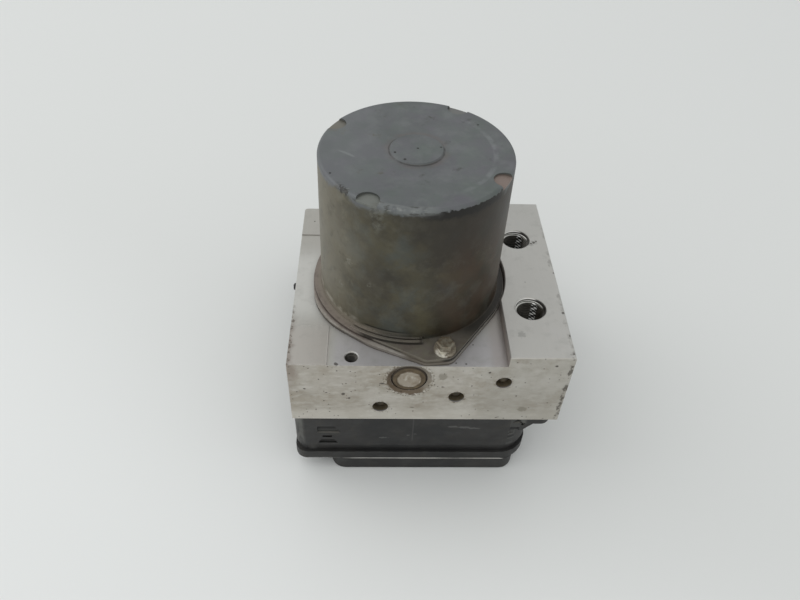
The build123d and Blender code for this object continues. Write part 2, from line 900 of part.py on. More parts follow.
accumulator_wall_radius = accumulator_radius - sliding
groove_floor = accumulator_wall_radius - accumulator_groove_depth
groove_low = accumulator_groove_start
groove_high = groove_low + accumulator_groove_width
piston_seat = accumulator_floor - free_gap
cap_seat = block_left + accumulator_cap_depth
cap_rim = 2.4
cap_rim_drop = 0.4
cap_bevel = 0.6
cap_dish = 1.0
accumulator_spring_turns = 4
accumulator_spring_radius = accumulator_wall_radius - accumulator_piston_wall - accumulator_spring_wire
accumulator_spring_start = piston_seat - accumulator_piston_crown - spring_gap
for name, side in ends.items():
    axis_y = side * accumulator_side
    base = (piston_seat, axis_y, accumulator_z)
    leftwards = (-1, 0, 0)
    piston = turned(
        [
            (0, 0),
            (accumulator_wall_radius - accumulator_piston_chamfer, 0),
            (accumulator_wall_radius, accumulator_piston_chamfer),
            (accumulator_wall_radius, groove_low),
            (groove_floor, groove_low),
            (groove_floor, groove_high),
            (accumulator_wall_radius, groove_high),
            (accumulator_wall_radius, accumulator_piston_length),
            (accumulator_wall_radius - accumulator_piston_wall, accumulator_piston_length),
            (accumulator_wall_radius - accumulator_piston_wall, accumulator_piston_crown),
            (0, accumulator_piston_crown),
        ],
        base,
        leftwards,
    )
    save(piston, f"accumulator_piston_{name}")
    seal = turned(
        [
            (groove_floor + seated, groove_low + seated),
            (accumulator_wall_radius, groove_low + seated),
            (accumulator_wall_radius, groove_high - seated),
            (groove_floor + seated, groove_high - seated),
        ],
        base,
        leftwards,
    )
    save(seal, f"accumulator_seal_{name}")
    accumulator_spring = coil_spring(
        accumulator_spring_radius,
        accumulator_spring_wire,
        accumulator_spring_turns,
        accumulator_spring_start - cap_seat - spring_gap,
        (accumulator_spring_start, axis_y, accumulator_z),
        leftwards,
    )
    save(accumulator_spring, f"accumulator_spring_{name}")
    cap_top = accumulator_cap_depth - cap_rim_drop
    cap = turned(
        [
            (0, 0),
            (accumulator_radius - seated, 0),
            (accumulator_radius - seated, cap_top - cap_bevel),
            (accumulator_radius - seated - cap_bevel, cap_top),
            (accumulator_radius - cap_rim, cap_top),
            (accumulator_radius - cap_rim - cap_bevel, cap_top - cap_dish),
            (0, cap_top - cap_dish),
        ],
        (cap_seat, axis_y, accumulator_z),
        leftwards,
    )
    save(cap, f"accumulator_cap_{name}")

# ---------------------------------------------------------------------------------------------
# Solenoid valves: a cartridge in the block, a closed dome below it and a plunger inside
# ---------------------------------------------------------------------------------------------

dome_low = block_bottom - dome_length
dome_high = block_bottom - 2.0
dome_bevel = 1.0
skirt_radius = valve_collar_radius - 1.2
plunger_radius = dome_radius - dome_wall - sliding
plunger_low = dome_low + dome_wall + plunger_room
plunger_high = dome_high - plunger_room
needle_high = block_bottom + valve_depth - 1.5
collar_top = block_bottom + valve_collar_depth - seated
neck_top = block_bottom + valve_neck_depth - seated
nose_top = block_bottom + valve_depth


def valve_cartridge(x, y):
    """The valve's turned body with its dome, hollow for the plunger and its needle."""
    outline = [
        (0, dome_low),
        (dome_radius - dome_bevel, dome_low),
        (dome_radius, dome_low + dome_bevel),
        (dome_radius, dome_high),
        (skirt_radius, dome_high),
        (skirt_radius, block_bottom),
        (valve_collar_radius - seated, block_bottom),
        (valve_collar_radius - seated, collar_top),
        (valve_neck_radius - seated, collar_top),
        (valve_neck_radius - seated, neck_top),
        (valve_nose_radius - seated, neck_top),
        (valve_nose_radius - seated, nose_top),
        (needle_radius + sliding, nose_top),
        (needle_radius + sliding, dome_high),
        (dome_radius - dome_wall, dome_high),
        (dome_radius - dome_wall, dome_low + dome_wall),
        (0, dome_low + dome_wall),
    ]
    return turned(outline, (x, y, 0), (0, 0, 1))


def valve_plunger(x, y):
    """The armature and the needle that it carries up to the seat."""
    outline = [
        (0, plunger_low),
        (plunger_radius, plunger_low),
        (plunger_radius, plunger_high),
        (needle_radius, plunger_high),
        (needle_radius, needle_high),
        (0, needle_high),
    ]
    return turned(outline, (x, y, 0), (0, 0, 1))


for kind, places in (("inlet", inlet_places), ("outlet", outlet_places)):
    for number, (x, y) in enumerate(places, start=1):
        save(valve_cartridge(x, y), f"{kind}_valve_{number}")
        save(valve_plunger(x, y), f"{kind}_plunger_{number}")

carrier_low = cover_height
carrier_thickness = 2.0
coil_low = carrier_low + carrier_thickness
terminal = (1.2, 0.6)
terminal_spread = 5.0
terminal_rows = 1.5
board_top = carrier_low
terminal_places = [
    (x + step * terminal_spread / 2, y * terminal_rows)
    for x, y in inlet_places + outlet_places
    for step in (-1, 1)
]
with BuildPart() as valve_coils:
    with BuildSketch(Plane.XY.offset(coil_low)):
        with Locations(*inlet_places, *outlet_places):
            Circle(coil_radius)
            Circle(dome_radius + free_gap, mode=Mode.SUBTRACT)
    extrude(amount=coil_height)
    with BuildSketch(Plane.XY.offset(board_top)):
        with Locations(*terminal_places):
            Rectangle(*terminal)
    extrude(amount=coil_low - board_top)
save(valve_coils.part, "valve_coils")

# ---------------------------------------------------------------------------------------------
# Control unit: moulded housing with the connector, cover with its tray, board, pins and screws
# ---------------------------------------------------------------------------------------------

roof_top = block_bottom - 2.0
shroud_size = (66.0, 20.0)
shroud_wall = 2.0
shroud_round = 4.0
shroud_x = 3.0
shroud_from_back = 19.0
shroud_y = unit_back - shroud_from_back
shroud_height_over_joint = 6.0
shroud_top = block_bottom + shroud_height_over_joint
shroud_floor = 20.0
pin_length = 10.5
pin_top = shroud_floor + pin_length
pin_rows = (-5.5, 0.0, 5.5)
pin_columns = 12
pin_pitch = 5.0
pin_size = (1.2, 0.8)
screw_tube_radius = 5.5
tube_foot_radius = 4.3
tube_foot = tray_height + floor_thickness + seated
screw_head_radius = 3.2
screw_head_height = 3.2
screw_head_floor = 1.0
screw_end_gap = 1.0
screw_clear_radius = unit_screw_radius + free_gap
tube_seat = 20.0
gusset_height = 4.2
gusset_foot = 2.1
corner_gusset_inset = 4.4
gusset_thickness = 2.0
seal_inset = 0.55
seal_band = 1.4
seal_depth_in_wall = 1.4
chamber_back_round = 3.0
waist_depth = 0.9
waist_height = 4.5
tray_stand = 0.4
tray_from_back = 12.0
tray_back = unit_back - tray_from_back
tray_edge = 0.5
latch_depth = 0.9
latch_window = [(9.9, -6.0), (17.4, -6.0), (19.4, -10.3), (9.9, -10.3)]
latch_slot = [(11.9, -12.2), (15.9, -12.2), (15.9, -13.4), (11.9, -13.4)]
latch_foot = [(11.3, -14.8), (16.6, -14.8), (18.3, -17.6), (9.9, -17.6)]
corner_pocket = [(91.4, -6.1), (94.9, -6.1), (94.9, -11.0), (91.4, -11.0)]
corner_pit = (96.4, -3.9)
corner_pit_radius = 0.8


def unit_outline(grow):
    """The unit's plan, grown on every side."""
    with BuildSketch() as outline:
        with Locations(unit_mid):
            Rectangle(unit_width + 2 * grow, unit_back - unit_front + 2 * grow)
        fillet(outline.vertices().group_by(Axis.Y)[-1], radius=back_round + grow)
        front_left = outline.vertices().group_by(Axis.Y)[0].sort_by(Axis.X)[0]
        fillet(front_left, radius=front_left_round + grow)
        front_right = outline.vertices().group_by(Axis.Y)[0].sort_by(Axis.X)[-1]
        fillet(front_right, radius=front_right_round + grow)
    return outline.sketch


def chamber_outline(inset):
    """The coil chamber's plan under the block, inset from the housing's outside."""
    with BuildSketch() as outline:
        with Locations((unit_mid[0], 0)):
            Rectangle(unit_width - 2 * inset, block_width - 2 * inset)
        fillet(outline.vertices().group_by(Axis.Y)[-1], radius=chamber_back_round)
        front_left = outline.vertices().group_by(Axis.Y)[0].sort_by(Axis.X)[0]
        fillet(front_left, radius=front_left_round - inset)
        front_right = outline.vertices().group_by(Axis.Y)[0].sort_by(Axis.X)[-1]
        fillet(front_right, radius=front_right_round - inset)
    return outline.sketch


def front_pocket(corners):
    """An outline on the housing's front, given from the block's lower left corner."""
    with BuildSketch() as outline:
        with BuildLine():
            Polyline(*[(block_left + x, block_bottom + z) for x, z in corners], close=True)
        make_face()
    return outline.sketch


def gusset(foot, height):
    """A three-cornered web under the right flange, from its foot on the wall."""
    with BuildSketch() as web:
        with BuildLine():
            Polyline(
                (foot - front_right_round / 2, under_flange),
                (foot + gusset_foot + height / 2, under_flange),
                (foot, under_flange - height),
                (foot - front_right_round / 2, under_flange - height),
                close=True,
            )
        make_face()
    return web.sketch


under_flange = block_bottom - flange_thickness
unit_outer = unit_outline(0.0)
waist = unit_outline(-waist_depth)
cover_outer = unit_outline(lip_stand)
cover_inner = unit_outline(lip_stand - cover_wall)
board_outline = unit_outline(lip_stand - cover_wall - free_gap)
chamber = chamber_outline(unit_wall)
seal_groove_outside = chamber_outline(seal_inset)
seal_groove_inside = chamber_outline(seal_inset + seal_band)
pockets = [front_pocket(c) for c in (latch_window, latch_slot, latch_foot, corner_pocket)]
corner_gusset = gusset(unit_right - corner_gusset_inset, gusset_height + 1.0)
wall_gusset = gusset(unit_right, gusset_height)
pin_places = [
    (shroud_x + (column - (pin_columns - 1) / 2) * pin_pitch, shroud_y + row)
    for column in range(pin_columns)
    for row in pin_rows
]
contact_places = [(contact_x, step * pin_spacing / 2) for step in (-1, 1)]

with BuildPart() as ecu_housing:
    with BuildSketch(Plane.XY.offset(cover_height)):
        add(unit_outer)
    extrude(amount=block_bottom - cover_height)
    # A waist above the cover's lip.
    with BuildSketch(Plane.XY.offset(cover_height)):
        with Locations(unit_mid):
            Rectangle(2 * block_length, 2 * (unit_back - unit_front))
        add(waist, mode=Mode.SUBTRACT)
    extrude(amount=waist_height, mode=Mode.SUBTRACT)
    # The part behind the block is roofed a little lower.
    with BuildSketch(Plane.XY.offset(roof_top)):
        with Locations((unit_mid[0], block_back + sliding)):
            Rectangle(block_length, 2 * unit_overhang, align=(Align.CENTER, Align.MIN))
    extrude(amount=block_bottom - roof_top, mode=Mode.SUBTRACT)
    # The flange along the right side, screwed to the block from below, and its webs.
    with BuildSketch(Plane.XY.offset(under_flange)):
        with Locations((unit_right, 0)):
            RectangleRounded(2 * flange_reach, block_width, front_left_round)
    extrude(amount=flange_thickness)
    with BuildSketch(Plane.XZ.offset(-unit_front - edge_break)):
        add(corner_gusset)
    extrude(amount=-gusset_thickness)
    for step in (-1, 1):
        with BuildSketch(Plane.XZ.offset(step * block_width / 3)):
            add(wall_gusset)
        extrude(amount=gusset_thickness / 2, both=True)
    # The coil chamber under the block, and the connector's chamber behind it.
    with BuildSketch(Plane.XY.offset(coil_low)):
        add(chamber)
    extrude(amount=block_height, mode=Mode.SUBTRACT)
    with BuildSketch(Plane.XY.offset(cover_height)):
        with Locations((unit_mid[0], block_back)):
            RectangleRounded(
                unit_width - 2 * unit_wall,
                2 * (unit_overhang - unit_wall),
                back_round - unit_wall,
            )
        with Locations((unit_mid[0], block_back)):
            Rectangle(
                block_length,
                unit_overhang * 2,
                align=(Align.CENTER, Align.MAX),
                mode=Mode.SUBTRACT,
            )
    extrude(amount=roof_top - floor_thickness - cover_height, mode=Mode.SUBTRACT)
    # The connector's shroud opens upwards.
    with BuildSketch(Plane.XY.offset(shroud_floor - floor_thickness)):
        with Locations((shroud_x, shroud_y)):
            RectangleRounded(
                shroud_size[0] + 2 * shroud_wall,
                shroud_size[1] + 2 * shroud_wall,
                shroud_round + shroud_wall,
            )
    extrude(amount=shroud_top - shroud_floor + floor_thickness)
    with BuildSketch(Plane.XY.offset(shroud_floor)):
        with Locations((shroud_x, shroud_y)):
            RectangleRounded(*shroud_size, shroud_round)
    extrude(amount=block_height, mode=Mode.SUBTRACT)
    with BuildSketch(Plane.XY.offset(shroud_floor - floor_thickness)):
        with Locations(*pin_places):
            Rectangle(pin_size[0] + 2 * seated, pin_size[1] + 2 * seated)
    extrude(amount=floor_thickness, mode=Mode.SUBTRACT)
    # Slots in the coil carrier for the coils' terminals and the motor's contacts.
    with BuildSketch(Plane.XY.offset(carrier_low)):
        with Locations(*terminal_places):
            Rectangle(terminal[0] + 2 * seated, terminal[1] + 2 * seated)
        with Locations(*contact_places):
            Rectangle(pin_width + 2 * seated, pin_thickness + 2 * seated)
    extrude(amount=carrier_thickness, mode=Mode.SUBTRACT)
    # Tubes for the two screws on the left, reached from below through the cover.
    with BuildSketch(Plane.XY.offset(carrier_low)):
        with Locations(*left_screws):
            Circle(screw_tube_radius)
    extrude(amount=block_bottom - carrier_low)
    with BuildSketch(Plane.XY.offset(tube_foot)):
        with Locations(*left_screws):
            Circle(tube_foot_radius)
    extrude(amount=carrier_low - tube_foot)
    with BuildSketch(Plane.XY.offset(tube_foot)):
        with Locations(*left_screws):
            Circle(screw_head_radius + free_gap)
    extrude(amount=tube_seat - tube_foot, mode=Mode.SUBTRACT)
    with BuildSketch(Plane.XY.offset(tube_foot)):
        with Locations(*left_screws, *right_screws):
            Circle(screw_clear_radius)
    extrude(amount=block_height, mode=Mode.SUBTRACT)
    # The seal's groove round the chamber's rim.
    with BuildSketch(Plane.XY.offset(block_bottom)):
        add(seal_groove_outside)
        add(seal_groove_inside, mode=Mode.SUBTRACT)
    extrude(amount=-seal_depth_in_wall, mode=Mode.SUBTRACT)
    # A latch pocket at the left of the front, and a moulding pocket and pit at its right.
    with BuildSketch(Plane.XZ.offset(-unit_front)):
        for pocket in pockets:
            add(pocket)
    extrude(amount=-latch_depth, mode=Mode.SUBTRACT)
    with BuildSketch(Plane.XZ.offset(-unit_front)):
        with Locations((block_left + corner_pit[0], block_bottom + corner_pit[1])):
            Circle(corner_pit_radius)
    extrude(amount=-3 * latch_depth, mode=Mode.SUBTRACT)
save(ecu_housing.part, "ecu_housing")

with BuildPart() as ecu_seal:
    with BuildSketch(Plane.XY.offset(block_bottom - seal_depth_in_wall + seated)):
        add(chamber_outline(seal_inset + seated))
        add(chamber_outline(seal_inset + seal_band - seated), mode=Mode.SUBTRACT)
    extrude(amount=seal_depth_in_wall - 2 * seated)
save(ecu_seal.part, "ecu_seal")

with BuildPart() as ecu_cover:
    # The tray stands lower than the lip, and a little proud of it at the front.
    with BuildSketch(Plane.XY):
        with Locations((block_left + tray_left, unit_front - lip_stand - tray_stand)):
            Rectangle(
                tray_right - tray_left,
                tray_back - unit_front + lip_stand + tray_stand,
                align=(Align.MIN, Align.MIN),
            )
    extrude(amount=tray_height)
    fillet(ecu_cover.edges().filter_by(Axis.Z), radius=tray_round)
    chamfer(ecu_cover.edges().group_by(Axis.Z)[-1], length=tray_edge)
    fillet(ecu_cover.edges().group_by(Axis.Z)[0], radius=2 * tray_edge)
    with BuildSketch(Plane.XY.offset(tray_height)):
        add(cover_outer)
    extrude(amount=cover_height - tray_height)
    with BuildSketch(Plane.XY.offset(tray_height + floor_thickness)):
        add(cover_inner)
    extrude(amount=cover_height, mode=Mode.SUBTRACT)
    with BuildSketch(Plane.XY.offset(floor_thickness)):
        with Locations(((2 * block_left + tray_left + tray_right) / 2, (unit_front + tray_back) / 2)):
            RectangleRounded(
                tray_right - tray_left - 2 * cover_wall,
                tray_back - unit_front - 2 * cover_wall,
                tray_round - cover_wall,
            )
    extrude(amount=tray_height, mode=Mode.SUBTRACT)
    with BuildSketch(Plane.XY.offset(tray_height)):
        with Locations(*left_screws):
            Circle(screw_head_radius + free_gap)
    extrude(amount=floor_thickness, mode=Mode.SUBTRACT)
save(ecu_cover.part, "ecu_cover")

board_low = board_top - board_thickness
chips = [
    (-14.0, -16.0, 20.0, 20.0, 2.2),
    (20.0, -14.0, 13.0, 10.0, 1.8),
    (22.0, 18.0, 10.0, 16.0, 2.6),
]
capacitors = [(-20.0, 24.0), (-6.0, 24.0)]
capacitor_radius = 4.5
capacitor_height = 7.0
with BuildPart() as ecu_board:
    with BuildSketch(Plane.XY.offset(board_low)):
        add(board_outline)
        with Locations(*left_screws):
            Circle(tube_foot_radius + free_gap, mode=Mode.SUBTRACT)
    extrude(amount=board_thickness)
    for x, y, length, width, height in chips:
        with BuildSketch(Plane.XY.offset(board_low)):
            with Locations((x, y)):
                Rectangle(length, width)
        extrude(amount=-height)
    with BuildSketch(Plane.XY.offset(board_low)):
        with Locations(*capacitors):
            Circle(capacitor_radius)
    extrude(amount=-capacitor_height)
save(ecu_board.part, "ecu_board")

with BuildPart() as connector_pins:
    with BuildSketch(Plane.XY.offset(board_top)):
        with Locations(*pin_places):
            Rectangle(*pin_size)
    extrude(amount=pin_top - board_top)
save(connector_pins.part, "connector_pins")

with BuildPart() as motor_contacts:
    with BuildSketch(Plane.XY.offset(board_top)):
        with Locations(*contact_places):
            Rectangle(pin_width, pin_thickness)
    extrude(amount=plate_top + holder_thickness + contact_end - board_top)
save(motor_contacts.part, "motor_contacts")

with BuildPart() as ecu_screws:
    for places, seat in ((left_screws, tube_seat), (right_screws, under_flange)):
        with BuildSketch(Plane.XY.offset(seat - screw_head_height)):
            with Locations(*places):
                Circle(screw_head_radius)
        extrude(amount=screw_head_height)
        with BuildSketch(Plane.XY.offset(seat - screw_head_height)):
            with Locations(*places):
                RegularPolygon(screw_head_radius / 2, 6)
        extrude(amount=screw_head_height - screw_head_floor, mode=Mode.SUBTRACT)
        with BuildSketch(Plane.XY.offset(seat)):
            with Locations(*places):
                Circle(unit_screw_radius - seated)
        extrude(amount=block_bottom + unit_screw_depth - screw_end_gap - seat)
save(ecu_screws.part, "ecu_screws")
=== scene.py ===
# %% [markdown]
# # An ABS brake module
# A milled aluminium valve block carries a round pump motor on its top and a plastic control unit
# below it. The solids come from the CAD frame and keep their places. This notebook gives them
# their finishes and adds what a CAD model leaves out: the threads in the ports, the staked metal
# round the pump's plug and the wear of years under a bonnet.

# %% Load the frame
import json
from math import cos, pi, radians, sin

import bmesh
import bpy
from mathutils import Matrix, Vector


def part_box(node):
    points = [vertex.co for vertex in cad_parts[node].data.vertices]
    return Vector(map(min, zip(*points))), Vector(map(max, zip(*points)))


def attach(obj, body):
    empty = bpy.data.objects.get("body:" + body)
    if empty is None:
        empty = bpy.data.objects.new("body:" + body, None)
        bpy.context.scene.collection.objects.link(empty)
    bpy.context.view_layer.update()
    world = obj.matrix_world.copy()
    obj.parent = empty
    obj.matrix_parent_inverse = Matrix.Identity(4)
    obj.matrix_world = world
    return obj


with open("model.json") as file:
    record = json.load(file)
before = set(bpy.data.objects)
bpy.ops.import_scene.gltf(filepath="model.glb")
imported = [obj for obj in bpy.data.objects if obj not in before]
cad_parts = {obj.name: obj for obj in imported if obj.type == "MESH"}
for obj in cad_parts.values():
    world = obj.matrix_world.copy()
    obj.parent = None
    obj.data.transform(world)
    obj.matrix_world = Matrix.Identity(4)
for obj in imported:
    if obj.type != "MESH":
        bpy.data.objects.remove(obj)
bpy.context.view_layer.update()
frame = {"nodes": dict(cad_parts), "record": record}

nodes = frame["nodes"]
MM = 0.001

# %% [markdown]
# ## Camera
# The view looks down on the module from the front at about 45 degrees. A camera is placed by the
# point where the lens is and by three turns: round the upright axis, up from looking straight down,
# and about its own line of sight. Matrices multiplied in that order say it more plainly than a
# target that the camera tracks, because the small roll stays visible as a number.

# %% Camera
camera_place = Vector((-15.86, -217.43, 272.53)) * MM
camera_turn = radians(-3.32)
camera_tilt = radians(45.34)
camera_roll = radians(3.03)

camera = bpy.data.objects.new("camera", bpy.data.cameras.new("camera"))
camera.data.sensor_fit = "HORIZONTAL"
camera.data.sensor_width = 36.0
camera.data.lens = 31.18
camera.data.clip_start = 0.01
camera.matrix_world = (
    Matrix.Translation(camera_place)
    @ Matrix.Rotation(camera_turn, 4, "Z")
    @ Matrix.Rotation(camera_tilt, 4, "X")
    @ Matrix.Rotation(camera_roll, 4, "Z")
)
bpy.context.scene.collection.objects.link(camera)
bpy.context.scene.camera = camera
print("camera", [round(v, 4) for v in camera.location], "lens", camera.data.lens)

# %% [markdown]
# ## Small tools for shader trees
# A finish is a tree of shader nodes, and six small functions keep the cells short. `add` makes a
# node and fills its sockets with numbers or with other nodes' outputs. `tone` turns a screen colour
# into the linear one that a shader works in, and `maths` does one piece of arithmetic. `layer` lays
# one colour over another by a mask, as paint is laid over a primer, and `ramp` and `between` make
# such masks.

# %% Shader helpers
def tone(red, green, blue):
    """A screen colour, 0 to 255, as the linear colour that a shader works in."""
    linear = []
    for value in (red, green, blue):
        share = value / 255
        linear.append(share / 12.92 if share <= 0.04045 else ((share + 0.055) / 1.055) ** 2.4)
    return (*linear, 1.0)


def add(tree, kind, inputs, **settings):
    """A new node, its sockets filled with values or linked to other nodes' outputs."""
    made = tree.nodes.new("ShaderNode" + kind)
    for name, value in settings.items():
        setattr(made, name, value)
    for name, value in inputs.items():
        if isinstance(value, bpy.types.NodeSocket):
            tree.links.new(value, made.inputs[name])
        else:
            made.inputs[name].default_value = value
    return made


def maths(tree, operation, first, second=0.0, clamp=True):
    """The result of one Math node, kept between 0 and 1 unless clamp is False."""
    made = add(tree, "Math", {0: first, 1: second}, operation=operation, use_clamp=clamp)
    return made.outputs[0]


def layer(tree, mask, under, over):
    """One colour laid over another where the mask is 1."""
    return add(tree, "Mix", {0: mask, 6: under, 7: over}, data_type="RGBA").outputs[2]


def ramp(tree, value, low, high, start=0.0, end=1.0, kind="SMOOTHSTEP"):
    """A change from start, where the value is low, to end, where it is high."""
    inputs = {"Value": value, "From Min": low, "From Max": high, "To Min": start, "To Max": end}
    return add(tree, "MapRange", inputs, interpolation_type=kind).outputs["Result"]


def between(tree, value, low, high):
    """A mask that rises smoothly from 0 at low to 1 at high. It falls if low is above high."""
    if low > high:
        return ramp(tree, value, high, low, 1.0, 0.0)
    return ramp(tree, value, low, high)


print("tone(128, 128, 128) is", [round(v, 3) for v in tone(128, 128, 128)[:3]])

# %% [markdown]
# ## Floor and light
# The object stands on a pale floor under a soft sky that is brightest on the left and in front.
# Only a sky that changes from side to side models a round can: an even one would light its whole
# wall alike. Its mean is near 1, so a colour renders about as it is written. One large window on
# the left adds the soft shadow to the right.

# %% Floor and light
floor_size = 6.0
floor_mesh = bpy.data.meshes.new("floor")
floor_grid = bmesh.new()
bmesh.ops.create_grid(floor_grid, x_segments=1, y_segments=1, size=floor_size)
floor_grid.to_mesh(floor_mesh)
floor_grid.free()
floor = bpy.data.objects.new("floor", floor_mesh)
bpy.context.scene.collection.objects.link(floor)

floor_finish = bpy.data.materials.new("floor")
floor_finish.use_nodes = True
floor_tree = floor_finish.node_tree
floor_clouds = add(floor_tree, "TexNoise", {"Scale": 9.0, "Detail": 2.0})
floor_colour = layer(floor_tree, floor_clouds.outputs[0], tone(213, 214, 212), tone(217, 218, 215))
# The floor is painted lighter towards the front left, where the object's shadow falls: a painted pool of
# light.
floor_spot = add(floor_tree, "TexCoord", {}).outputs["Object"]
towards_window = add(floor_tree, "VectorMath", {0: floor_spot, 1: (-0.5, -0.8, 0.0)}, operation="DOT_PRODUCT")
painted_light_on_floor = between(floor_tree, towards_window.outputs["Value"], -0.02, 0.12)
floor_colour = layer(floor_tree, painted_light_on_floor, floor_colour, tone(224, 225, 223))
floor_shader = floor_tree.nodes["Principled BSDF"]
floor_tree.links.new(floor_colour, floor_shader.inputs["Base Color"])
floor_shader.inputs["Roughness"].default_value = 0.45
floor_mesh.materials.append(floor_finish)

world = bpy.data.worlds.new("soft light")
world.use_nodes = True
world_tree = world.node_tree
sky = world_tree.nodes["Background"]
sky.inputs["Color"].default_value = tone(239, 241, 242)
direction = add(world_tree, "TexCoord", {}).outputs["Generated"]
dark_side = (0.8, 0.6, 0.0)
towards_dark = add(world_tree, "VectorMath", {0: direction, 1: dark_side}, operation="DOT_PRODUCT")
light_left, light_right = 1.32, 0.76
strength = ramp(world_tree, towards_dark.outputs["Value"], -1.0, 1.0, light_left, light_right, "LINEAR")
world_tree.links.new(strength, sky.inputs["Strength"])
bpy.context.scene.world = world

window_place = Vector((-1.15, 0.3, 1.3))
window = bpy.data.objects.new("window", bpy.data.lights.new("window", "AREA"))
window.data.size = 1.2
window.data.energy = 3.8
window.location = window_place
window.rotation_euler = (-window_place).to_track_quat("-Z", "Y").to_euler()
bpy.context.scene.collection.objects.link(window)
print("window", window.data.energy, "W, sky from", light_left, "on the left to", light_right)

bpy.context.scene.view_settings.view_transform = "Standard"

# %% [markdown]
# ## Effects that several finishes share
# Stains, specks, scratches and worn edges return on metal and on plastic, so each is a node group,
# built once and placed with its own numbers. Every group works in millimetres, and those that make
# patterns read the object's own coordinates, so that a size of 3 is 3 mm on every piece. A group
# gives a mask from 0 to 1 and leaves the colour to the material that it is placed in.

# %% A group's frame
def new_group(name, inputs):
    """An empty shader group with named number inputs and one Mask output."""
    tree = bpy.data.node_groups.new(name, "ShaderNodeTree")
    for label, value in inputs.items():
        kind = "NodeSocketVector" if isinstance(value, tuple) else "NodeSocketFloat"
        socket = tree.interface.new_socket(label, in_out="INPUT", socket_type=kind)
        socket.default_value = value
    tree.interface.new_socket("Mask", in_out="OUTPUT", socket_type="NodeSocketFloat")
    return tree, tree.nodes.new("NodeGroupInput").outputs, tree.nodes.new("NodeGroupOutput")


def turned_place(tree, turn, stretch, seed):
    """The object's own coordinates in millimetres, turned, stretched and shifted by a seed."""
    own = add(tree, "TexCoord", {}).outputs["Object"]
    shift = add(tree, "CombineXYZ", {"X": seed, "Y": seed, "Z": seed}).outputs[0]
    scaled = add(tree, "VectorMath", {0: own, "Scale": 1 / MM}, operation="SCALE").outputs[0]
    rotated = add(tree, "VectorRotate", {"Vector": scaled, "Rotation": turn}, rotation_type="EULER_XYZ")
    made = add(tree, "VectorMath", {0: rotated.outputs[0], 1: stretch}, operation="MULTIPLY")
    return add(tree, "VectorMath", {0: made.outputs[0], 1: shift}, operation="ADD").outputs[0]


def use(tree, group, **values):
    """The Mask of a group placed in a tree, with its own values."""
    inputs = {name.capitalize(): value for name, value in values.items()}
    return add(tree, "Group", inputs, node_tree=group).outputs["Mask"]


# %% [markdown]
# **Clouds** are soft stains. Noise is cut at a level, and `Soft` says how wide the stain's edge is.
# Stretching the coordinates turns round stains into streaks.

# %% Clouds
clouds, ends, out = new_group(
    "Clouds",
    {"Size": 10.0, "Level": 0.5, "Soft": 0.15, "Turn": (0, 0, 0), "Stretch": (1, 1, 1), "Seed": 0.0},
)
place = turned_place(clouds, ends["Turn"], ends["Stretch"], ends["Seed"])
fineness = maths(clouds, "DIVIDE", 1.0, ends["Size"], clamp=False)
pattern = add(clouds, "TexNoise", {"Vector": place, "Scale": fineness, "Detail": 6.0, "Roughness": 0.6})
low = maths(clouds, "SUBTRACT", ends["Level"], ends["Soft"], clamp=False)
high = maths(clouds, "ADD", ends["Level"], ends["Soft"], clamp=False)
clouds.links.new(ramp(clouds, pattern.outputs[0], low, high), out.inputs["Mask"])
print("Clouds has", len(clouds.nodes), "nodes")

# %% [markdown]
# **Specks** are pits, grains of dirt and chips. A Voronoi texture scatters points, and each point
# shows as a speck if its random colour is under `Share`. A little noise in the coordinates
# keeps the specks from being round. Stretched, they become short scratches.

# %% Specks
specks, ends, out = new_group(
    "Specks",
    {
        "Spacing": 4.0, "Radius": 0.15, "Share": 0.5, "Ragged": 0.3,
        "Turn": (0, 0, 0), "Stretch": (1, 1, 1), "Seed": 0.0,
    },
)
place = turned_place(specks, ends["Turn"], ends["Stretch"], ends["Seed"])
fineness = maths(specks, "DIVIDE", 1.0, ends["Spacing"], clamp=False)
finer = maths(specks, "MULTIPLY", fineness, 3.0, clamp=False)
wobble = add(specks, "TexNoise", {"Vector": place, "Scale": finer, "Detail": 2.0}).outputs["Color"]
amount = maths(specks, "MULTIPLY", ends["Ragged"], ends["Spacing"], clamp=False)
centred = add(specks, "VectorMath", {0: wobble, 1: (0.5, 0.5, 0.5)}, operation="SUBTRACT").outputs[0]
moved = add(specks, "VectorMath", {0: centred, "Scale": amount}, operation="SCALE").outputs[0]
place = add(specks, "VectorMath", {0: place, 1: moved}, operation="ADD").outputs[0]
points = add(specks, "TexVoronoi", {"Vector": place, "Scale": fineness})
chance = add(specks, "SeparateColor", {"Color": points.outputs["Color"]}).outputs[0]
chosen = maths(specks, "LESS_THAN", chance, ends["Share"])
core = maths(specks, "MULTIPLY", ends["Radius"], 0.5, clamp=False)
spot = ramp(specks, points.outputs["Distance"], core, ends["Radius"], 1.0, 0.0)
specks.links.new(maths(specks, "MULTIPLY", chosen, spot), out.inputs["Mask"])
print("Specks has", len(specks.nodes), "nodes")

# %% [markdown]
# **Worn edges** show where the surface turns sharply. The Bevel node gives the normal that the
# surface would have with rounded edges, and where that differs from the true normal there is an
# edge. Noise breaks the line up, because nothing wears evenly.

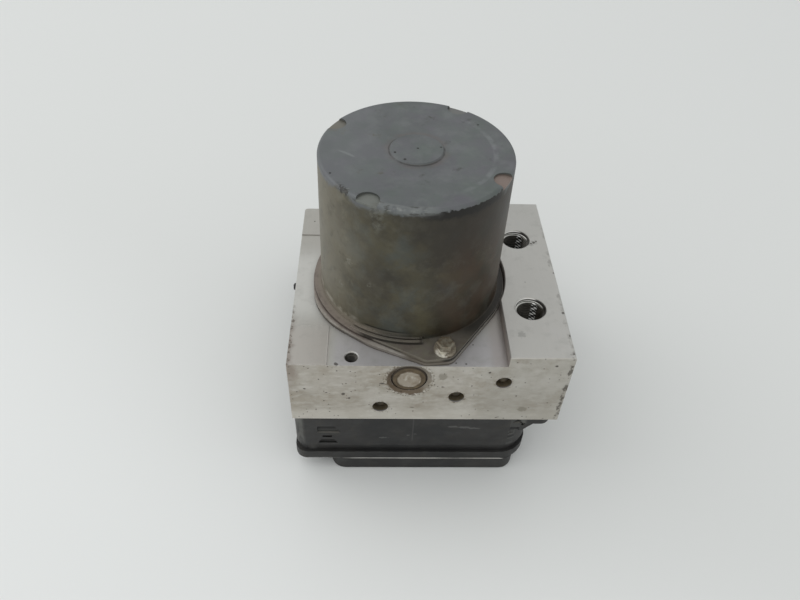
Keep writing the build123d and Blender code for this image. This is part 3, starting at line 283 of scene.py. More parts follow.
# %% Worn edges
worn_edges, ends, out = new_group("Worn edges", {"Width": 0.5, "Broken": 0.5, "Size": 3.0, "Seed": 0.0})
reach = maths(worn_edges, "MULTIPLY", ends["Width"], MM, clamp=False)
rounded = add(worn_edges, "Bevel", {"Radius": reach}, samples=6).outputs[0]
true = add(worn_edges, "NewGeometry", {}).outputs["Normal"]
same = add(worn_edges, "VectorMath", {0: rounded, 1: true}, operation="DOT_PRODUCT").outputs["Value"]
edge = between(worn_edges, same, 0.995, 0.85)
place = turned_place(worn_edges, (0, 0, 0), (1, 1, 1), ends["Seed"])
fineness = maths(worn_edges, "DIVIDE", 1.0, ends["Size"], clamp=False)
pattern = add(worn_edges, "TexNoise", {"Vector": place, "Scale": fineness, "Detail": 5.0}).outputs[0]
level = maths(worn_edges, "ADD", ends["Broken"], 0.12, clamp=False)
kept = ramp(worn_edges, pattern, ends["Broken"], level)
worn_edges.links.new(maths(worn_edges, "MULTIPLY", edge, kept), out.inputs["Mask"])
print("Worn edges has", len(worn_edges.nodes), "nodes")

# %% [markdown]
# ** Shade and dirt** gather in corners. The Ambient Occlusion node says how much of the sky a point sees
# within a given distance, and the rest is the mask. Dark colour laid through it is partly dirt and
# partly painted shade.

# %% Shade and dirt
shade_and_dirt, ends, out = new_group("Shade and dirt", {"Reach": 3.0, "Amount": 1.0})
reach = maths(shade_and_dirt, "MULTIPLY", ends["Reach"], MM, clamp=False)
open_sky = add(shade_and_dirt, "AmbientOcclusion", {"Distance": reach}, samples=6).outputs["AO"]
shut = maths(shade_and_dirt, "SUBTRACT", 1.0, open_sky, clamp=False)
shade_and_dirt.links.new(maths(shade_and_dirt, "MULTIPLY", shut, ends["Amount"]), out.inputs["Mask"])
print("Grime has", len(shade_and_dirt.nodes), "nodes")

# %% [markdown]
# ## Building a finish in layers
# A worn surface has a history: bare metal, then stains, then pits and rubbed edges, then dirt in
# the corners, where painted shade is laid too. `Finish` follows that order. Each `lay` puts a colour
# over what is there, through one or more masks, and a plain number among the masks thins the layer.
# `stain` does it in clouds, and `raised` changes the shape. Some marks belong to one spot, so a
# finish also knows where it is on the part, in millimetres, and which way the surface faces.

# %% A finish and its layers
class Finish:
    """A material built up in layers, with its place on the part in millimetres."""

    def __init__(self, name, first):
        self.material = bpy.data.materials.new(name)
        self.material.use_nodes = True
        self.tree = self.material.node_tree
        self.colour = tone(*first)
        self.normal = None
        own = add(self.tree, "TexCoord", {}).outputs["Object"]
        scaled = add(self.tree, "VectorMath", {0: own, "Scale": 1 / MM}, operation="SCALE")
        self.point = scaled.outputs[0]
        self.x, self.y, self.z = add(self.tree, "SeparateXYZ", {0: self.point}).outputs
        facing = add(self.tree, "NewGeometry", {}).outputs["Normal"]
        self.facing_x, self.facing_y, self.facing_z = add(self.tree, "SeparateXYZ", {0: facing}).outputs

    def clouds(self, **values):
        return use(self.tree, clouds, **values)

    def specks(self, **values):
        return use(self.tree, specks, **values)

    def edges(self, **values):
        return use(self.tree, worn_edges, **values)

    # Dark colour through this mask is dirt and painted shade in corners.
    def shade_and_dirt(self, reach, amount=1.0):
        return use(self.tree, shade_and_dirt, reach=reach, amount=amount)

    def between(self, value, *span):
        """The mask of each pair of numbers in the span, all at once: two pairs make a band."""
        pairs = zip(span[::2], span[1::2])
        return self.both(*(between(self.tree, value, low, high) for low, high in pairs))

    def where(self, **spans):
        """The same by place or by facing: the span of each axis, by the axis's name."""
        return self.both(*(self.between(getattr(self, axis), *span) for axis, span in spans.items()))

    def plus(self, value, by):
        """A length with another one added, not held between 0 and 1."""
        return maths(self.tree, "ADD", value, by, clamp=False)

    def both(self, *masks):
        """Where all the masks are."""
        result = masks[0]
        for mask in masks[1:]:
            result = maths(self.tree, "MULTIPLY", result, mask)
        return result

    def either(self, *masks):
        """Where any of the masks is."""
        result = masks[0]
        for mask in masks[1:]:
            result = maths(self.tree, "MAXIMUM", result, mask)
        return result

    def ripple(self, size, amount, seed=0):
        """A slowly changing length, as much as amount up or down."""
        shifted = add(self.tree, "VectorMath", {0: self.point, 1: (seed, seed, seed)}, operation="ADD")
        inputs = {"Vector": shifted.outputs[0], "Scale": 1 / size, "Detail": 5.0}
        pattern = add(self.tree, "TexNoise", inputs).outputs[0]
        return ramp(self.tree, pattern, 0.25, 0.75, -amount, amount, "LINEAR")

    def distance(self, centre, keep=(1, 1, 1)):
        """The distance from a point. Axes whose keep is 0 don't count."""
        offset = add(self.tree, "VectorMath", {0: self.point, 1: centre}, operation="SUBTRACT")
        flat = add(self.tree, "VectorMath", {0: offset.outputs[0], 1: keep}, operation="MULTIPLY")
        return add(self.tree, "VectorMath", {0: flat.outputs[0]}, operation="LENGTH").outputs["Value"]

    def from_upright(self, x, y):
        """The distance from an upright line."""
        return self.distance((x, y, 0), keep=(1, 1, 0))

    def marks(self, *places, keep=(1, 1, 1), ragged=0.3):
        """Round marks with ragged rims, each given by its place and radius."""
        wobble = self.ripple(1.2, ragged, 3.0)
        found = []
        for x, y, z, radius in places:
            reach = self.plus(self.distance((x, y, z), keep), wobble)
            found.append(self.between(reach, radius * 1.2, radius * 0.7))
        return self.either(*found)

    def lay(self, colour, *masks):
        """Lays a colour over the others where the masks are."""
        self.colour = layer(self.tree, self.both(*masks), self.colour, tone(*colour))

    def stain(self, colour, *masks, **values):
        """Lays a colour in clouds of the given size, level, softness and seed, where the masks are."""
        self.lay(colour, *masks, self.clouds(**values))

    def raised(self, mask, height):
        """Raises the surface by height millimetres where the mask is, or sinks it."""
        inputs = {"Height": mask, "Distance": abs(height) * MM}
        if self.normal is not None:
            inputs["Normal"] = self.normal
        self.normal = add(self.tree, "Bump", inputs, invert=height < 0).outputs[0]

    def done(self, metallic, roughness, *names, specular=0.5):
        """Joins the layers to the shader and puts the finish on CAD nodes."""
        shader = self.tree.nodes["Principled BSDF"]
        self.tree.links.new(self.colour, shader.inputs["Base Color"])
        if self.normal is not None:
            self.tree.links.new(self.normal, shader.inputs["Normal"])
        shader.inputs["Metallic"].default_value = metallic
        shader.inputs["Roughness"].default_value = roughness
        shader.inputs["Specular IOR Level"].default_value = specular
        for name in names:
            nodes[name].data.materials.clear()
            nodes[name].data.materials.append(self.material)
        print(self.material.name, "on", len(names), "nodes")


# %% [markdown]
# ## The valve block
# The block is sawn from extruded aluminium, milled on top and drilled from every side. Under a
# bonnet it goes dull. The milled top stays the cleanest. The front keeps the saw's fine lines and
# gets beige stains, dark pits and brown corners.

# %% Places on the valve block
pump_x, pump_height = -0.8, 25.5
recess_height = 33.9
block_low, block_high = (Vector(corner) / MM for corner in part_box("valve_block"))
front_y, strip_z = block_low.y, block_high.z
pump_centre = (pump_x, front_y, block_low.z + pump_height)
recess_z = block_low.z + recess_height
port_places = [(48.5, -21.8), (48.5, 21.8)]
channels = [(-11.8, 44.4), (18.5, 51.0), (36.4, 60.2)]
top_hole = (-23.3, -44.0)
print("front face at y", round(front_y, 1), "milled top at z", round(recess_z, 1))

# %% Stains on the valve block
block = Finish("block_aluminium", (180, 179, 173))
block.stain((165, 163, 157), size=24, level=0.5, soft=0.2)
block.stain((190, 189, 190), 0.5, size=18, level=0.6, soft=0.1, seed=40)

on_front = block.where(facing_y=(-0.6, -0.9))
on_top = block.where(facing_z=(0.6, 0.9))
on_strip = block.both(on_top, block.where(z=(74, 74.8)))
block.lay((194, 192, 187), on_strip, 0.75)
in_recess = block.both(on_top, block.where(z=(74, 73)))
block.lay((190, 189, 183), in_recess, 0.7)
block.lay((168, 164, 156), in_recess, block.where(y=(6, 26)), 0.6)
block.lay((212, 211, 206), in_recess, block.where(x=(-26, -38), y=(-26, -16, 20, 8)), 0.5)
block.lay((176, 170, 163), in_recess, block.where(y=(-20, -34), x=(-30, -34)), 0.7)
block.lay((190, 187, 191), in_recess, block.where(y=(-24, -40), x=(-32, -28)), 0.6)

block.lay((182, 176, 166), on_front, 0.85)
block.stain((150, 140, 124), on_front, 0.5, size=16, level=0.53, soft=0.12, seed=3)
block.stain((140, 133, 120), on_front, 0.4, size=6, level=0.6, soft=0.1, stretch=(0.5, 1, 1), seed=66)
block.stain((202, 199, 192), on_front, 0.5, size=11, level=0.56, soft=0.12, seed=21)
saw_lines = block.clouds(size=1.6, level=0.56, soft=0.16, stretch=(0.2, 1, 1), seed=7)
block.stain((142, 134, 120), on_front, saw_lines, 0.3, size=12, level=0.5, soft=0.1, seed=37)
block.stain((144, 135, 120), on_front, 0.25, size=2.6, level=0.57, soft=0.1, stretch=(0.6, 1, 1), seed=29)
block.stain((206, 203, 196), on_front, 0.35, size=2.2, level=0.58, soft=0.08, stretch=(0.4, 1, 1), seed=83)
block.lay((206, 202, 193), on_front, block.where(z=(45, 39)), 0.5)
bright_side = block.where(x=(12, 24), z=(50, 60))
block.stain((208, 206, 200), on_front, bright_side, 0.35, size=5, level=0.48, soft=0.1, seed=57)
block.lay((160, 157, 149), on_front, block.where(x=(22, 34)), 0.35)
block.stain((152, 150, 145), on_top, 0.08, size=1, level=0.5, soft=0.3, stretch=(1, 0.05, 1), seed=15)
block.lay((174, 173, 168), on_strip, block.where(y=(6, 46)), 0.6)
block.stain((150, 148, 143), on_top, 0.25, size=5, level=0.6, soft=0.12, seed=77)

# Stains that belong to one place: halos on the strip, two ovals on the front, and the left corner
# as seen on the front and on the top.
halo = block.marks(
    (54.6, 18.4, strip_z, 1.3), (56.6, 19.8, strip_z, 1.3), (42.8, -36.2, strip_z, 1.6), ragged=0.9
)
block.lay((142, 141, 136), on_strip, halo, 0.5)
ovals = block.marks((12.2, front_y, 63.6, 1.9), (46.3, front_y, 43.3, 1.8), ragged=0.7)
block.lay((128, 123, 110), on_front, ovals, 0.6)
near_left = block.between(block.plus(block.x, block.ripple(5, 2)), -42.6, -46.4)
block.lay((128, 114, 102), on_front, near_left, block.where(z=(50, 66)), 0.6)
near_left_top = block.between(block.plus(block.x, block.ripple(4, 1.6, 9)), -45, -47.6)
block.lay((128, 117, 108), on_top, near_left_top, block.where(y=(-14, -34)), 0.55)

# %% [markdown]
# Dirt lies where nothing wipes it off: in the pressed-in ring round the pump's plug, in the
# drilled holes and deep in the ports. Each is a distance from a line, so the masks are exact where
# noise alone would miss.

# %% Dirt in the ring and the holes
near_front = block.where(y=(-30, -46), z=(recess_z - 0.1, recess_z - 0.6))
from_pump = block.distance(pump_centre, keep=(1, 0, 1))
rough_from_pump = block.plus(from_pump, block.ripple(2.5, 0.7, 5))
in_ring = block.between(rough_from_pump, 9.4, 8.5)
low_left = block.between(block.plus(block.x, block.z), 65, 57)
block.lay((98, 85, 66), in_ring, near_front, 0.6)
block.lay((84, 68, 50), in_ring, low_left, near_front, 0.75)
stake_dirt = block.clouds(size=0.9, level=0.54, soft=0.05, seed=33)
stake_band = block.both(block.between(from_pump, 10.6, 9.7, 8.6, 9), on_front)
block.lay((92, 80, 62), stake_band, stake_dirt, 0.75)
stake_shine = block.clouds(size=1.1, level=0.6, soft=0.05, seed=51)
block.lay((220, 215, 204), stake_band, stake_shine, 0.8)

from_holes = [block.distance((along, 0, up), keep=(1, 0, 1)) for along, up in channels]
for from_hole in from_holes:
    block.lay((120, 108, 88), on_front, block.between(from_hole, 4.6, 3.4), stake_dirt, 0.6)
for along, deep in port_places:
    inside = block.between(block.from_upright(along, deep), 6.3, 6.05)
    block.lay((44, 41, 36), inside, block.where(z=(74.6, 73.6)), 0.9)
in_top_hole = block.between(block.from_upright(*top_hole), 2.75, 2.55)
block.lay((40, 37, 34), in_top_hole, block.where(z=(recess_z - 0.4, recess_z - 1)), 0.9)
print("dirt in the ring,", len(channels), "channels and", len(port_places), "ports")

# %% [markdown]
# Pits and nicks cut through every stain, so they come after the dirt. Most are scattered by noise,
# and the larger ones have a place of their own. The edges are rubbed bright where noise allows it.

# %% Pits, nicks and rubbed edges
pits = block.specks(spacing=1.8, radius=0.2, share=0.3, ragged=0.3, seed=2)
long_pits = block.specks(spacing=6, radius=0.09, share=0.5, ragged=0.5, stretch=(0.5, 1, 1), seed=1)
lone_pits = block.marks(
    (30.1, front_y, 66.3, 0.5), (34.6, front_y, 70.5, 0.5), (55.4, front_y, 70.6, 0.55),
    (42.6, front_y, 51.8, 0.4), (-26.6, front_y, 52.5, 0.7), (-24.3, front_y, 49.9, 0.45),
    (-41.6, front_y, 55.8, 0.5), (24, front_y, 58, 0.3),
)
pits = block.both(on_front, block.either(pits, long_pits, lone_pits))
crumbs = block.marks(
    (24.2, -37.3, recess_z, 0.4), (20.6, -47, recess_z, 0.55), (16.8, -46.6, recess_z, 0.4),
    (-29, -47.6, recess_z, 0.8), (-42.6, 38.3, recess_z, 0.45), (-33.6, 45.4, recess_z, 0.35),
    (48.6, -6.2, strip_z, 0.3), (55.2, 18.9, strip_z, 0.55), (56.4, 19.6, strip_z, 0.7),
    (57.6, 20.6, strip_z, 0.5), (61.9, -0.3, strip_z, 0.6), (61.4, -24.2, strip_z, 0.7),
    (61.8, -36.7, strip_z, 0.6),
)
block.lay((56, 50, 43), block.either(pits, crumbs), 0.75)
right_end = block.between(block.plus(block.x, block.ripple(2, 1.3, 6)), 60.2, 61.2)
bruise = block.clouds(size=2.4, level=0.52, soft=0.04, seed=26)
front_corner = block.where(y=(-43.5, -46.5))
nicks = block.both(right_end, bruise, block.either(on_front, block.both(on_top, front_corner)))
block.lay((72, 66, 57), nicks, 0.75)
left_end = block.between(block.plus(block.x, block.ripple(2, 0.8, 16)), -46.6, -47.2)
block.lay((84, 74, 64), left_end, bruise, on_top, block.where(y=(-10, -26)), 0.7)
block.stain((132, 129, 123), right_end, on_top, 0.5, size=5, level=0.58, soft=0.06, seed=91)
block.lay((212, 211, 207), block.edges(width=0.4, broken=0.46, size=2, seed=4), 0.6)
# Dirt and painted shade in the corners.
block.lay((62, 54, 45), block.shade_and_dirt(3), 0.45)
# The strip's left wall faces the bright side and is painted lighter over the corner shade: painted light. At
# the front, the milled floor beside it is painted darker towards the wall's foot: painted shade.
lit_step_wall = block.where(facing_x=(-0.6, -0.9), x=(10, 14), z=(69.5, 70.2))
block.lay((186, 175, 168), lit_step_wall, 0.7)
block.lay((170, 160, 154), in_recess, block.where(x=(29, 33), y=(-10, -20)), 0.45)
# The pad's low step is painted lighter so that it shows no dark line: painted light over its shade.
lit_pad_step = block.where(x=(-33.1, -32.8, -32.1, -32.4))
block.lay((206, 200, 195), lit_pad_step, block.where(y=(-31, -32.6), z=(69, 69.6)), 0.35)
for from_hole in from_holes:
    inside = block.between(from_hole, 3.5, 3.15)
    block.lay((132, 118, 90), inside, block.where(y=(-48.2, -47.5)), 0.9)
# Each port's mouth gets a bright ring, a painted highlight where a chamfer would catch the light, and a dark
# arc on its right, painted shade.
for along, deep in port_places:
    from_port = block.from_upright(along, deep)
    block.lay((226, 225, 220), block.between(from_port, 6.35, 6.15), block.where(z=(74.3, 74.6)), 0.75)
    dark_side = block.from_upright(along + 5, deep + 1)
    block.lay(
        (38, 36, 32), block.between(from_port, 6.4, 6.3), block.between(dark_side, 5.6, 4.2),
        block.where(z=(74.95, 74.8)), 0.9,
    )

block.raised(saw_lines, 0.01)
block.raised(block.clouds(size=0.45, level=0.5, soft=0.4, seed=9), 0.015)
block.raised(block.either(pits, nicks), -0.2)
block.raised(block.both(stake_band, stake_shine), 0.15)
block.done(0.7, 0.46, "valve_block")

# %% [markdown]
# ## The motor can
# The can is drawn steel. Its closed end was coated more thickly than its wall, and the coat ends
# in a ragged line at the rim: high up on the right, where it broke off and left a dark band of bare
# steel, deepened by painted shade, and lower on the left. The wall has turned olive and brown with
# bluish patches, and it is painted lighter on the left and darker on the right: painted light and shade.

# %% Wall of the motor can
boss_height = 0.7
boss_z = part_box("motor_can")[1][2] / MM
end_z = boss_z - boss_height

can = Finish("can_steel", (68, 64, 49))
can.stain((49, 45, 36), size=17, level=0.5, soft=0.18, seed=2)
can.stain((86, 80, 58), 0.55, size=12, level=0.56, soft=0.14, seed=23)
can.stain((68, 76, 76), 0.5, size=13, level=0.58, soft=0.12, seed=12)
on_right = can.where(x=(2, 22))
# Painted shade on the right of the wall with brown patina over it, and a painted highlight on the left.
can.lay((46, 39, 29), on_right, 0.6)
can.stain((70, 50, 34), on_right, 0.5, size=11, level=0.46, soft=0.14, seed=31)
can.lay((119, 113, 97), can.between(can.plus(can.x, can.ripple(14, 6, 51)), -10, -37), 0.7)
can.stain((98, 97, 86), 0.25, size=6, level=0.58, soft=0.12, seed=44)
streaked = can.where(x=(-14, -26))
can.stain((126, 122, 104), streaked, 0.25, size=3, level=0.6, soft=0.12, stretch=(1, 1, 0.7), seed=72)
can.stain((66, 62, 48), can.where(x=(-6, -22)), 0.45, size=4, level=0.6, soft=0.1, seed=52)
scuffs = can.marks((-24, -27, 104, 1.6), (-17, -33, 97, 1.2), (-27, -24, 90, 1.6), ragged=1.2)
can.stain((130, 129, 119), scuffs, 0.5, size=1.4, level=0.5, soft=0.15, seed=47)
can.lay((40, 36, 30), can.where(x=(-12, 10), z=(104, 124)), 0.75)

# %% [markdown]
# The flange is the can's own sheet, but it lies flat and holds the wet. It has gone pinkish brown
# on the left and olive on the ear. On the right it is painted nearly black, a painted shadow of the can.
# A pale line runs along the wall's foot on the left: scuffs, with a painted highlight on the bend.

# %% Flange of the motor can
from_axis = can.from_upright(0, 0)
# A pale line along the wall's foot on the left: scuffs, with a painted highlight on the bend.
foot = can.where(z=(74.4, 75, 77.6, 76.4), x=(-18, -26))
can.stain((172, 168, 156), foot, 0.6, size=5, level=0.48, soft=0.1, seed=14)
by_ribs = can.where(x=(-24.5, -23, 5, 3.5), y=(-20, -26))
# Above the ribs the wall is painted with a light line and, over it, a dark line: a painted highlight and
# painted shade that draw a second rib.
rib_light_and_shade = can.both(by_ribs, can.between(from_axis, 37.5, 37.3), can.where(x=(-19.5, -17.5, 2, -8)))
can.lay((106, 101, 91), rib_light_and_shade, can.where(z=(75.9, 75.4)), 0.75)
can.lay((30, 27, 22), rib_light_and_shade, can.where(z=(75.3, 75.6, 76.4, 76)), 0.8)
on_flange = can.both(can.where(z=(75, 73.6)), can.between(from_axis, 37.2, 37.8))
can.lay((116, 111, 102), on_flange, 0.85)
on_ear = can.both(on_flange, can.where(y=(-33, -40), x=(-12, -2)))
can.lay((108, 103, 93), on_ear, 0.5)
can.stain((104, 102, 78), on_ear, 0.5, size=7, level=0.5, soft=0.14, seed=36)
can.stain((104, 92, 92), on_ear, 0.5, size=6, level=0.54, soft=0.12, seed=38)
flange_left = can.between(can.plus(can.x, can.ripple(6, 3, 7)), -8, -26)
can.lay((138, 126, 117), on_flange, flange_left, 0.7)
can.stain((86, 79, 69), on_flange, 0.45, size=4, level=0.56, soft=0.1, seed=13)
flange_outer = can.both(on_flange, flange_left, can.between(from_axis, 39.2, 40.6))
can.lay((92, 81, 74), flange_outer, 0.6)
# Right of the can the flange is painted nearly black: a painted shadow of the can.
shadowed_flange_right = can.both(on_flange, can.where(x=(10, 24), y=(-42, -30)))
can.lay((42, 39, 33), shadowed_flange_right, 0.95)
flange_rim = can.both(can.where(z=(72, 72.5)), on_flange, can.edges(width=0.5, broken=0.3, size=6))
can.lay((158, 152, 143), flange_rim, 0.6)
# The flange's edge and the gap under it are painted dark, darkest on the right: painted shade.
can.lay((44, 40, 34), can.where(z=(72.3, 71.9)), 0.8)
can.lay((28, 25, 21), can.where(z=(72.95, 72.7), x=(8, 12)), can.between(from_axis, 38, 39), 0.85)

# %% [markdown]
# The coat is a colour of its own, grey with greenish, purple and pale patches, and one mask lays it
# over the wall. That mask compares the height with a level that two ripples disturb: a fine one for
# the ragged line, and a wide one for its slow rise and fall.

# %% Coat on the end of the motor can
coat = can.clouds(size=15, level=0.5, soft=0.22, seed=5)
end_colour = layer(can.tree, coat, tone(95, 98, 98), tone(83, 86, 86))
tints = {
    (86, 96, 89): (0.5, {"size": 11, "level": 0.55, "seed": 17}),
    (95, 91, 99): (0.5, {"size": 10, "level": 0.56, "seed": 61}),
    (120, 123, 122): (0.25, {"size": 7, "level": 0.58, "seed": 63}),
}
for colour, (share, shape) in tints.items():
    tint = can.both(can.clouds(soft=0.14, **shape), share)
    end_colour = layer(can.tree, tint, end_colour, tone(*colour))
end_colour = layer(can.tree, can.both(can.where(x=(-8, -24)), 0.35), end_colour, tone(104, 107, 108))

broken_side = can.both(
    can.between(can.plus(can.x, can.ripple(4, 3, 33)), -3, 9), can.where(x=(31, 27), y=(-12, -20))
)
fine_line = can.ripple(1.5, 0.7, 8)
wide_line = can.ripple(9, 2.4, 28)
coat_level = can.plus(can.plus(can.z, fine_line), wide_line)
low_coat = can.between(coat_level, end_z - 3.4, end_z - 1)
high_coat = can.between(can.plus(can.z, fine_line), end_z - 1.2, end_z - 0.7)
coated = add(can.tree, "Mix", {0: broken_side, 2: low_coat, 3: high_coat}, data_type="FLOAT").outputs[0]
# The dark band and ragged edge on the right of the rim: bare steel where the coat broke off, darkened further
# as painted shade.
band = can.both(broken_side, can.between(can.plus(can.z, wide_line), end_z - 6, end_z - 1))
can.lay((34, 31, 26), band, 0.85)
ragged_edge = can.both(broken_side, can.between(can.plus(can.z, fine_line), end_z - 5, end_z - 3.2))
can.lay((20, 18, 15), ragged_edge, 0.9)
can.colour = layer(can.tree, coated, can.colour, end_colour)

# %% [markdown]
# Small marks tell most about age: four dark dots on the boss, chips along the rim, faint arcs that
# a tool left, and the bare floors of the punched notches.

# %% Marks on the end
on_end = can.where(z=(end_z - 0.3, end_z - 0.1))
dots = can.marks(
    (-4.5, -7.2, boss_z, 0.6), (-8, -2.8, boss_z, 0.5), (0.4, 0.1, boss_z, 0.48), (8.9, 1.1, boss_z, 0.42),
    (-30.7, -15.6, end_z, 0.45), (24.3, 18.5, end_z, 0.45),
    ragged=0.08,
)
can.lay((34, 32, 30), dots, 0.95)
around_boss = can.both(can.between(from_axis, 9.6, 10.4, 13.5, 10.8), on_end)
can.stain((98, 90, 86), around_boss, 0.5, size=8, level=0.48, soft=0.14, seed=75)
boss_line = can.both(can.between(from_axis, 9.9, 10.1, 10.7, 10.4), on_end)
can.stain((62, 60, 58), boss_line, 0.8, size=6, level=0.5, soft=0.1, seed=71)
arcs = can.both(can.between(from_axis, 27.6, 28.6, 30.4, 29.4), can.where(x=(12, 22)))
can.stain((128, 131, 132), on_end, arcs, 0.4, size=8, level=0.52, soft=0.1, seed=82)
rubbed = can.specks(
    spacing=9, radius=0.12, share=0.4, ragged=0.5, stretch=(0.3, 1, 1), turn=(0, 0, 0.5), seed=18
)
can.lay((134, 137, 136), on_end, rubbed, 0.35)

rim = can.both(can.where(z=(end_z - 2.4, end_z - 1.3)), can.between(from_axis, 33.6, 34.4))
front_rim = can.where(x=(-30, -26, 6, 0), y=(-10, -20))
rubbed_rim = can.where(x=(-16, -9, 8, 2), y=(-20, -30))
can.stain((118, 121, 119), rim, rubbed_rim, 0.55, size=3, level=0.46, soft=0.12, seed=58)
front_rim = can.both(rim, front_rim)
can.stain((52, 50, 45), front_rim, 0.75, size=1.8, level=0.58, soft=0.06, stretch=(0.4, 1, 1), seed=16)
can.stain((146, 147, 141), front_rim, 0.5, size=1.8, level=0.62, soft=0.06, stretch=(0.3, 1, 1), seed=6)
dark_chips = can.marks((-26.3, -24.2, end_z - 0.4, 1.2), (-24.8, -25.8, end_z - 0.6, 0.9), ragged=0.9)
can.stain((46, 43, 38), dark_chips, 0.85, size=1, level=0.42, soft=0.08, seed=53)
smear_place = can.both(
    can.between(can.distance((-14.8, -33.2, end_z - 5), keep=(1, 1, 0.55)), 5, 2),
    can.where(z=(end_z - 1, end_z - 2)),
)
can.stain((108, 108, 98), smear_place, 0.6, size=3.4, level=0.5, soft=0.12, seed=88)
can.stain((56, 54, 46), smear_place, 0.6, size=2, level=0.56, soft=0.08, seed=98)

notch_floors = {-120: (112, 114, 107), -30: (134, 116, 106), 60: (104, 104, 100), 150: (108, 104, 92)}
notch_at, notch_radius = 35.0, 4.2
notch_depth = can.where(z=(end_z - 0.3, end_z - 0.6, end_z - 2.2, end_z - 1.4))
for angle, colour in notch_floors.items():
    centre = (notch_at * cos(radians(angle)), notch_at * sin(radians(angle)))
    in_notch = can.between(can.from_upright(*centre), notch_radius + 0.1, notch_radius - 0.1)
    can.lay(colour, in_notch, notch_depth, 0.75)
print(len(notch_floors), "notches, end of the can at z", round(end_z, 1))

# %% [markdown]
# Rubbed edges go over all of it, and dirt with painted shade in the corners. Last come small places
# round the foot: the shade under the ribs, the flange's tip by the bolt and, on the left, a lighter
# bend where the wall turns into the flange, painted as a highlight.

# %% Last layers of the motor can
can.lay((116, 116, 110), can.edges(width=0.5, broken=0.54, size=2, seed=1), 0.15)
# Dirt and painted shade in the corners.
can.lay((40, 36, 31), can.shade_and_dirt(3), 0.45)
rib_foot = can.both(by_ribs, can.where(x=(-22.5, -18)), can.between(from_axis, 39.75, 39.85, 40.35, 40.15))
can.lay((26, 23, 19), rib_foot, can.where(z=(73.9, 73.5)), 0.8)
can.lay((66, 62, 55), by_ribs, can.where(x=(2.2, 3.4), z=(73.1, 73.3, 74.4, 74.2)), 0.75)
ear_tip = can.where(x=(-6, -2, 13, 10), y=(-40, -42.5), z=(73.2, 73))
can.lay((104, 98, 87), ear_tip, can.where(facing_z=(0.9, 0.7)), 0.9)
# The left of the foot is painted lighter over the corner shade: a painted highlight that reads as a smooth
# bend.
lit_foot_bend = can.both(can.where(z=(72.6, 73, 75.4, 74.2)), can.between(from_axis, 39, 38))
can.lay((136, 128, 116), lit_foot_bend, can.where(x=(-8, -20)), 0.75)
can.raised(can.clouds(size=1.1, level=0.5, soft=0.5, seed=19), 0.02)
can.raised(can.either(dark_chips, dots), -0.12)
can.done(0.3, 0.48, "motor_can")

# %% [markdown]
# ## Plate, bolts and plugs
# The end plate shows as a pale strip under the flange. The bolt has browned; its collar is paler,
# and near white at its front.

# %% Finishes of the end plate and the bolts
plate = Finish("plate_steel", (182, 178, 171))
plate.stain((156, 149, 140), size=6, level=0.5, soft=0.2, seed=3)
plate.lay((96, 90, 80), plate.where(x=(-6, 4, 16, 10), y=(-20, -36)), 0.6)
# Painted shade: a dark line where the plate meets the flange.
plate.lay((40, 35, 29), plate.shade_and_dirt(0.7, 1.3), 0.8)
side = plate.where(facing_z=(0.7, 0.3))
plate.lay((104, 98, 90), side, 0.7)
# On the left the lower edge of the plate's sides is painted dark: a painted contact shadow.
plate_left = plate.between(plate.plus(plate.x, plate.ripple(5, 2)), -12, -22)
plate.lay((52, 47, 41), side, plate_left, plate.where(z=(71.2, 70.8)), 0.6)
by_flange = plate.between(plate.shade_and_dirt(2.6, 1.5), 0.2, 0.42)
plate.lay((108, 95, 88), by_flange, plate_left, plate.where(facing_z=(0.3, 0.7)), 0.75)
plate.lay((104, 97, 87), plate.where(x=(-5, 0, 15, 11), y=(-38, -42)), 0.9)
# A dark line at the plate's foot on the block: a painted contact shadow.
plate.lay((60, 54, 47), plate.where(z=(70.5, 70.1)), 0.7)
plate.raised(plate.clouds(size=1.2, level=0.5, soft=0.4), 0.02)
plate.done(0.5, 0.48, "motor_end_plate")

bolt = Finish("bolt_steel", (140, 134, 120))
rust = bolt.clouds(size=2.2, level=0.5, soft=0.12, seed=6)
bolt.lay((92, 76, 60), rust)
holes = bolt.specks(spacing=1.3, radius=0.4, share=0.4, ragged=0.6)
bolt.lay((52, 42, 34), holes, 0.6)
bolt.lay((108, 104, 88), bolt.where(z=(75.6, 76.4)), 0.45)
collar = bolt.both(bolt.where(z=(75.2, 74.4)), bolt.clouds(size=2.5, level=0.46, soft=0.1, seed=8))
bolt.lay((158, 149, 132), collar, 0.8)
collar_front = bolt.distance((10.6, -46.2, 74.8))
bolt.lay((236, 231, 218), collar, bolt.between(collar_front, 3.6, 2.2), 0.9)
bolt.lay((176, 168, 152), bolt.edges(width=0.35, broken=0.54, size=1.5), 0.35)
# Dirt and painted shade in the corners.
bolt.lay((54, 46, 38), bolt.shade_and_dirt(1.5), 0.6)
bolt.raised(rust, 0.06)
bolt.raised(holes, -0.08)
bolt.done(0.5, 0.46, "motor_bolts", "ecu_screws")

# %% [markdown]
# The pump's plug keeps a light centre inside a brown ring, with painted shade round its rim. The balls
# in the channels sit deep, so brown steel with dirt and painted shade round it is enough for them.

# %% Finishes of the plugs
plug = Finish("plug_steel", (104, 90, 68))
plug.stain((80, 67, 49), size=2.5, level=0.5, soft=0.2)
from_centre = plug.distance(pump_centre, keep=(1, 0, 1))
disc = plug.between(plug.plus(from_centre, plug.ripple(2, 0.3)), 4.9, 4.1)
plug.lay((160, 151, 137), disc, 0.9)
plug.stain((192, 186, 174), disc, 0.6, size=2.6, level=0.58, soft=0.06, seed=9)
plug.stain((120, 104, 84), disc, 0.6, size=3, level=0.56, soft=0.1, seed=4)
